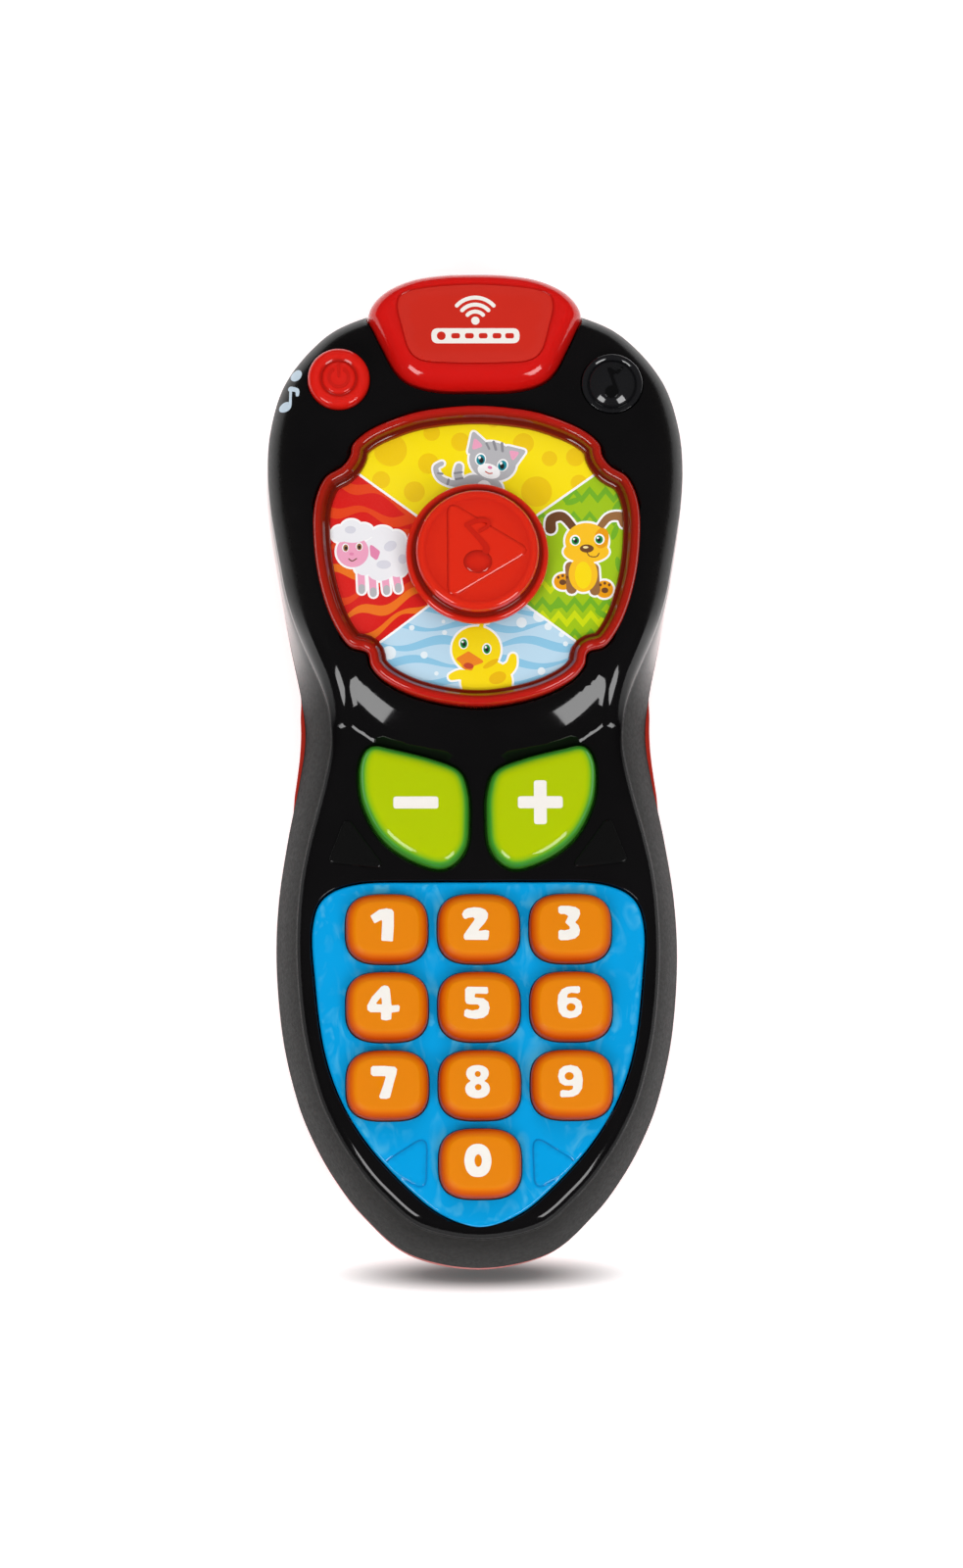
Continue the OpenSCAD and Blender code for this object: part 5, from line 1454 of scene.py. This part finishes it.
for s, body, mat, kind in ((-1, "power_button", M_POWER, "power"), (1, "music_button", M_NOTE, "note")):
    cx, cy = s * BX, BY + (0.3 if kind == "power" else -0.45)
    M = Mesh()
    stem = [(0, 21.85), (2.5, 21.85), (2.5, 22.2), (6.3, 22.2), (6.3, 23.2), (5.5, 23.2), (5.5, 28)]
    dome = lambda r: 33.0 - (7.2 - math.sqrt(7.2 ** 2 - r * r))
    if kind == "power":
        prof = stem + [(5.66, 31.2), (5.66, 32.0), (5.6, 32.5), (5.42, 32.95), (5.12, 33.28), (4.72, 33.5), (4.25, 33.58), (3.85, 33.54), (3.55, 33.42), (3.35, 33.26), (3.18, 33.2), (3.02, 33.28), (2.9, 33.46), (2.7, 33.58), (2.3, 33.66), (1.6, 33.72), (0.8, 33.75), (0, 33.76)]
        # tones: low in the ring groove and on the sides, a painted shade
        tn = [0.3] * 9 + [0.6, 0.9] + [1.0] * 4 + [0.8, 0.35, 0.2, 0.35, 0.8] + [1.0] * 5
    else:
        prof = stem + [(5.55, 30.8), (5.55, 31.35), (5.5, 31.6), (5.38, 31.76), (5.2, 31.8), (5.0, 31.72), (4.6, 31.6), (4.42, 31.4), (4.3, 31.25), (4.2, 31.35)] + [(r, dome(r)) for r in (4.12, 3.9, 3.6, 3.2, 2.8, 2.4, 2.0, 1.5, 1.0, 0.5, 0)]
        tn = [0.0] * len(prof)
    assert len(tn) == len(prof)
    lathe(M, prof, cx, cy, 96, tn)
    M.make(body + "_dome", mat, body, replaces=(body,), sharp=60)
    zt = prof[-1][1] + (0 if kind == "power" else 0.02)
    zf = lambda x, y, cx=cx, cy=cy, zt=zt, k=0.022 if kind == "power" else 0.07: zt - k * ((x - cx) ** 2 + (y - cy) ** 2)
    M = Mesh()
    if kind == "power":
        a = np.radians(np.linspace(125, 415, 26))
        arc = np.column_stack([cx + 1.75 * np.cos(a), cy + 1.75 * np.sin(a)])
        polys = stroke(arc, 0.55) + stroke([[cx, cy + 0.3], [cx, cy + 2.4]], 0.55)
    else:
        polys = note(cx + 0.1, cy + 0.1, 0.92)
    # with tone 0.75 the power sign is painted darker than the button's top, a painted shade
    art(M, polys, zf, 0.2 if kind == "power" else 0.26, 0.2, 0.5, tone=0.75)
    o = M.make(body + "_sign", mat if kind == "power" else M_NOTE_SIGN_SHADED, body, sharp=30)
    bevel(o, 0.12, 3)

# ---------------------------------------------------------------- lens cap


def cap_ring(d, i, z, loop=None):
    q = inset(cap_loop if loop is None else loop, d)
    return lift(np.column_stack([q[:, 0] * (1 - 0.043 * i), 83 + (q[:, 1] - 83) * (1 - 0.065 * i)]), z)


M = Mesh()
# fourth number: the tone, low down the sides and inside, a painted shade
cp = [(0, 0, 15.2, 0.0), (0, 0, 22, 0.4), (0, 0, 26.5, 0.7), (0, 0, 28.4, 0.8), (0, 0.12, 29.6, 0.85), (0, 0.42, 30.7, 0.9), (0, 0.9, 31.6, 0.95), (0, 1.5, 32.3, 1.0), (0, 2.2, 32.85, 1.0), (0, 2.9, 33.2, 1.0), (0, 3.5, 33.38, 1.0), (0, 3.9, 33.42, 0.95)]
rings = [cap_ring(d, i, z) for d, i, z, a in cp]
# the last ring meets the badge's rim
top = rings[-1]
n = len(top)
bl = badge_loop
c0 = np.array([0.0, 80.4])
ang_t = np.arctan2(top[:, 1] - c0[1], top[:, 0] - c0[0])
bl_big = spline(whole(badge_half), 40)
ang_b = np.arctan2(bl_big[:, 1] - c0[1], bl_big[:, 0] - c0[0])
order = np.argsort(ang_b)
bx_ = np.interp(ang_t, ang_b[order], bl_big[order, 0], period=2 * PI)
by_ = np.interp(ang_t, ang_b[order], bl_big[order, 1], period=2 * PI)
B0 = np.column_stack([bx_, by_])
for f, z in ((0.35, 33.46), (0.7, 33.46), (0.9, 33.42)):
    rings.append(lift(top[:, :2] * (1 - f) + B0 * f, z))
Bn = normals(B0)
rings += [lift(B0, 33.3), lift(B0 + Bn * 0.15, 33.12), lift(B0 + Bn * 0.3, 33.05)]
# the rim is painted darker as it drops to the badge, a painted shade
tn = [a for *_, a in cp] + [0.9, 0.85, 0.7, 0.45, 0.3, 0.3]
M.loft(rings, att=tn)
mid = rings[-1]
M.add(np.vstack([mid, [[0, 80.4, 33.05]]]), [(i, (i + 1) % n, n) for i in range(n)], 0.3)
inn = [cap_ring(1.8, 0, 15.2), cap_ring(1.8, 0, 28), cap_ring(1.8, 0.6, 30), cap_ring(1.8, 1.6, 31.2)]
M.loft(inn, flip=True, att=[0.2] * 4)
cc = inn[-1]
M.add(np.vstack([cc, [[0, 80.4, 31.2]]]), [((i + 1) % n, i, n) for i in range(n)], 0.2)
M.loft([rings[0], inn[0]], flip=True, att=[0.2] * 2)
cap = M.make("lens_cap_body", M_CAP, None, sharp=50)
# its back is cut away above the boards
cut = Mesh()
wall_box(cut, -30, 30, 55, 84.2, 10, 19.4, 0.01)
cutter = cut.make("cap_back_cutter", M_CAP, None, sharp=30)
for o in (cap, cutter):
    bmc = bmesh.new(); bmc.from_mesh(o.data); bmesh.ops.recalc_face_normals(bmc, faces=bmc.faces); bmc.to_mesh(o.data); bmc.free()
mod = cap.modifiers.new("cut", "BOOLEAN")
mod.operation, mod.solver, mod.object = "DIFFERENCE", "EXACT", cutter
bpy.context.view_layer.update()
dg = bpy.context.evaluated_depsgraph_get()
new = bpy.data.meshes.new_from_object(cap.evaluated_get(dg), preserve_all_data_layers=True, depsgraph=dg)
cap.modifiers.clear()
cap.data = new
new.polygons.foreach_set("use_smooth", np.ones(len(new.polygons), bool))
new.set_sharp_from_angle(angle=math.radians(50))
bpy.data.objects.remove(cutter)
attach(cap, "casing")
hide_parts("lens_cap")

M = Mesh()
pad(M, inset(badge_loop, 0.28), lambda d, x, y: 33.12 + 0.1 * sstep(d / 0.5) + 0.03 * np.clip(1 - (x / 14) ** 2, 0, 1), 33.02, grid=1.4, rings=(0.15, 0.35, 0.6), under=False)
M.make("badge_plate", M_BADGE, "casing", replaces=("lens_badge",), sharp=50)
badge_z = lambda x, y: 33.22 + 0.03 * np.clip(1 - (x / 14) ** 2, 0, 1)
# generic sign on the badge: a dot with three arcs over a plain pill
M = Mesh()
polys = [circle(0, 80.6, 0.75, 32)]
for r in (1.9, 3.2, 4.5):
    a = np.radians(np.linspace(42, 138, 18))
    polys += stroke(np.column_stack([r * np.cos(a), 80.4 + r * np.sin(a)]), 0.72)
pill = rounded([[-8.0, 76.4], [8.0, 76.4], [8.0, 79.2], [-8.0, 79.2]], 1.4, 8)
polys.append(pill)
hole = [circle(-6.2, 77.8, 0.8, 28)] + [rounded([[x, 77.3], [x + 1.6, 77.3], [x + 1.6, 78.3], [x, 78.3]], 0.45, 5) for x in (-4.4, -1.9, 0.6, 3.1, 5.4)]
art(M, polys, badge_z, 0.03, 0.08, 1.0, holes=hole)
M.make("badge_sign", M_WHITE, "casing", sharp=30)

# printed marks by the side switch
M = Mesh()


def shoulder_z(x, y):
    """Height of the casing's skin, from its rings, near the left shoulder."""
    P = np.column_stack([x, y])
    d = dist(P, front_loop)
    near = np.argmin(((P[:, None] - front_loop[None]) ** 2).sum(2), 1)
    q = np.clip(1 - (d - 0.1) / (rim_d[near] - 0.1), 0, 1)
    return rim_z[near] - 1.12 * rim_d[near] * (1 - (1 - q ** 2.5) ** 0.4)


dot = [ell(-32.5, 71.3, 1.0, 1.2, -20, 28)]
nt = [ell(-34.5, 65.2, 1.15, 0.95, 25, 28)] + stroke([[-33.6, 65.5], [-33.5, 68.7]], 0.5) + stroke([[-33.5, 68.7], [-32.4, 68.2], [-32.3, 67.3]], 0.8, 4, False, (1.0, 0.6))
art(M, dot + nt, shoulder_z, 0.14, 0.06, 0.35)
M.make("switch_marks", M_MARKS, "casing", sharp=60)

# carried-over CAD pieces get a small rounding on their edges
for nm, w in (("battery_door", 0.25), ("switch_knob", 0.3), ("battery_door_screw", 0.12), ("case_screws", 0.12)):
    if nm in frame["nodes"]:
        bevel(frame["nodes"][nm], w, 2, 40)

# ---------------------------------------------------------------- stage, light, camera

fm = bpy.data.meshes.new("floor")
fm.from_pydata([(-3, -3, -0.0006), (3, -3, -0.0006), (3, 3, -0.0006), (-3, 3, -0.0006)], [], [(0, 1, 2, 3)])
floor = bpy.data.objects.new("floor", fm)
bpy.context.scene.collection.objects.link(floor)
N = Nodes("floor_white")
N.set("Roughness", 0.9)
N.set("Specular IOR Level", 0.1)
N.set("Emission Color", (1, 1, 1))
# the floor glows a little, evenly; under the lower tip the glow fades out and the floor's colour is darkened, a painted
# contact shadow
sp = N.t.nodes.new("ShaderNodeTexGradient")
sp.gradient_type = "SPHERICAL"
mp = N.t.nodes.new("ShaderNodeMapping")
mp.vector_type = "TEXTURE"
mp.inputs["Location"].default_value = (0.001, -0.0895, 0)
mp.inputs["Scale"].default_value = (0.042, 0.0052, 1)
N.link(N.co, mp.inputs["Vector"])
N.link(mp.outputs[0], sp.inputs["Vector"])
ease = N.t.nodes.new("ShaderNodeMapRange")
ease.interpolation_type = "SMOOTHERSTEP"
N.link(sp.outputs["Fac"], ease.inputs[0])
painted_shadow = ease.outputs[0]
N.set("Emission Strength", N.maprange(painted_shadow, 0.0, 0.9, 0.55, 0.0))
# the floor's colour darkened under the tip: a painted shadow
N.set("Base Color", N.mix(N.maprange(painted_shadow, 0.0, 1.0, 0.0, 1.0), (0.9, 0.9, 0.9), (0.14, 0.16, 0.16)))
fm.materials.append(N.mat)


def area(name, loc, target, size, power, color=(1, 1, 1), sy=None):
    l = bpy.data.lights.new(name, "AREA")
    l.shape = "RECTANGLE"
    l.size, l.size_y = size, sy or size
    l.energy = power
    l.color = color
    o = bpy.data.objects.new(name, l)
    bpy.context.scene.collection.objects.link(o)
    o.location = loc
    d = Vector(target) - Vector(loc)
    o.rotation_mode = "QUATERNION"
    o.rotation_quaternion = d.to_track_quat("-Z", "Y")
    return o


def around(az, el, d=1.0):
    """Point at distance d: azimuth from -Y towards +X, elevation above the floor, degrees."""
    u, v = math.radians(az), math.radians(el)
    return (d * math.sin(u) * math.cos(v), -d * math.cos(u) * math.cos(v), d * math.sin(v))


area("key_left", around(-43, 44), (0, 0, 0), 0.36, 2.5, sy=0.34)
area("key_right", around(43, 44), (0, 0, 0), 0.36, 2.5, sy=0.34)
# two broad fills that add no reflections of their own
for nm, loc, size, power in (("soft_top", (0.0, -0.38, 1.7), 2.3, 19.5), ("soft_back", around(180, 40, 1.3), 0.8, 4.6)):
    o = area(nm, loc, (0, 0, 0), size, power)
    o.visible_glossy = False

w = bpy.data.worlds.new("studio")
w.use_nodes = True
w.node_tree.nodes["Background"].inputs[0].default_value = (1, 1, 1, 1)
w.node_tree.nodes["Background"].inputs[1].default_value = 0.06
bpy.context.scene.world = w

cam_d = bpy.data.cameras.new("camera")
cam = bpy.data.objects.new("camera", cam_d)
bpy.context.scene.collection.objects.link(cam)
bpy.context.scene.camera = cam
cam_d.sensor_fit = "AUTO"
cam_d.sensor_width = 36
AZ, EL, DIST, ROLL = 1.707, 9.317, 1.2, 0.41
TX, TY, TZ = 0.00106, -0.00153, 0.015
a, e = math.radians(AZ), math.radians(EL)
back_v = Vector((-math.sin(a) * math.cos(e), -math.sin(e), math.cos(a) * math.cos(e)))
target = Vector((TX, TY, TZ))
cam.location = target + back_v * DIST
zc = back_v.normalized()
xc = Vector((0, 1, 0)).cross(zc).normalized()
yc = zc.cross(xc)
Mx = Matrix((xc, yc, zc)).transposed()
cam.rotation_mode = "QUATERNION"
cam.rotation_quaternion = Mx.to_quaternion() @ Matrix.Rotation(math.radians(-ROLL), 3, "Z").to_quaternion()
cam_d.lens = 151.35
cam_d.clip_start, cam_d.clip_end = 0.05, 20

bpy.context.scene.view_settings.view_transform = "Standard"
bpy.context.scene.view_settings.exposure = 0.0
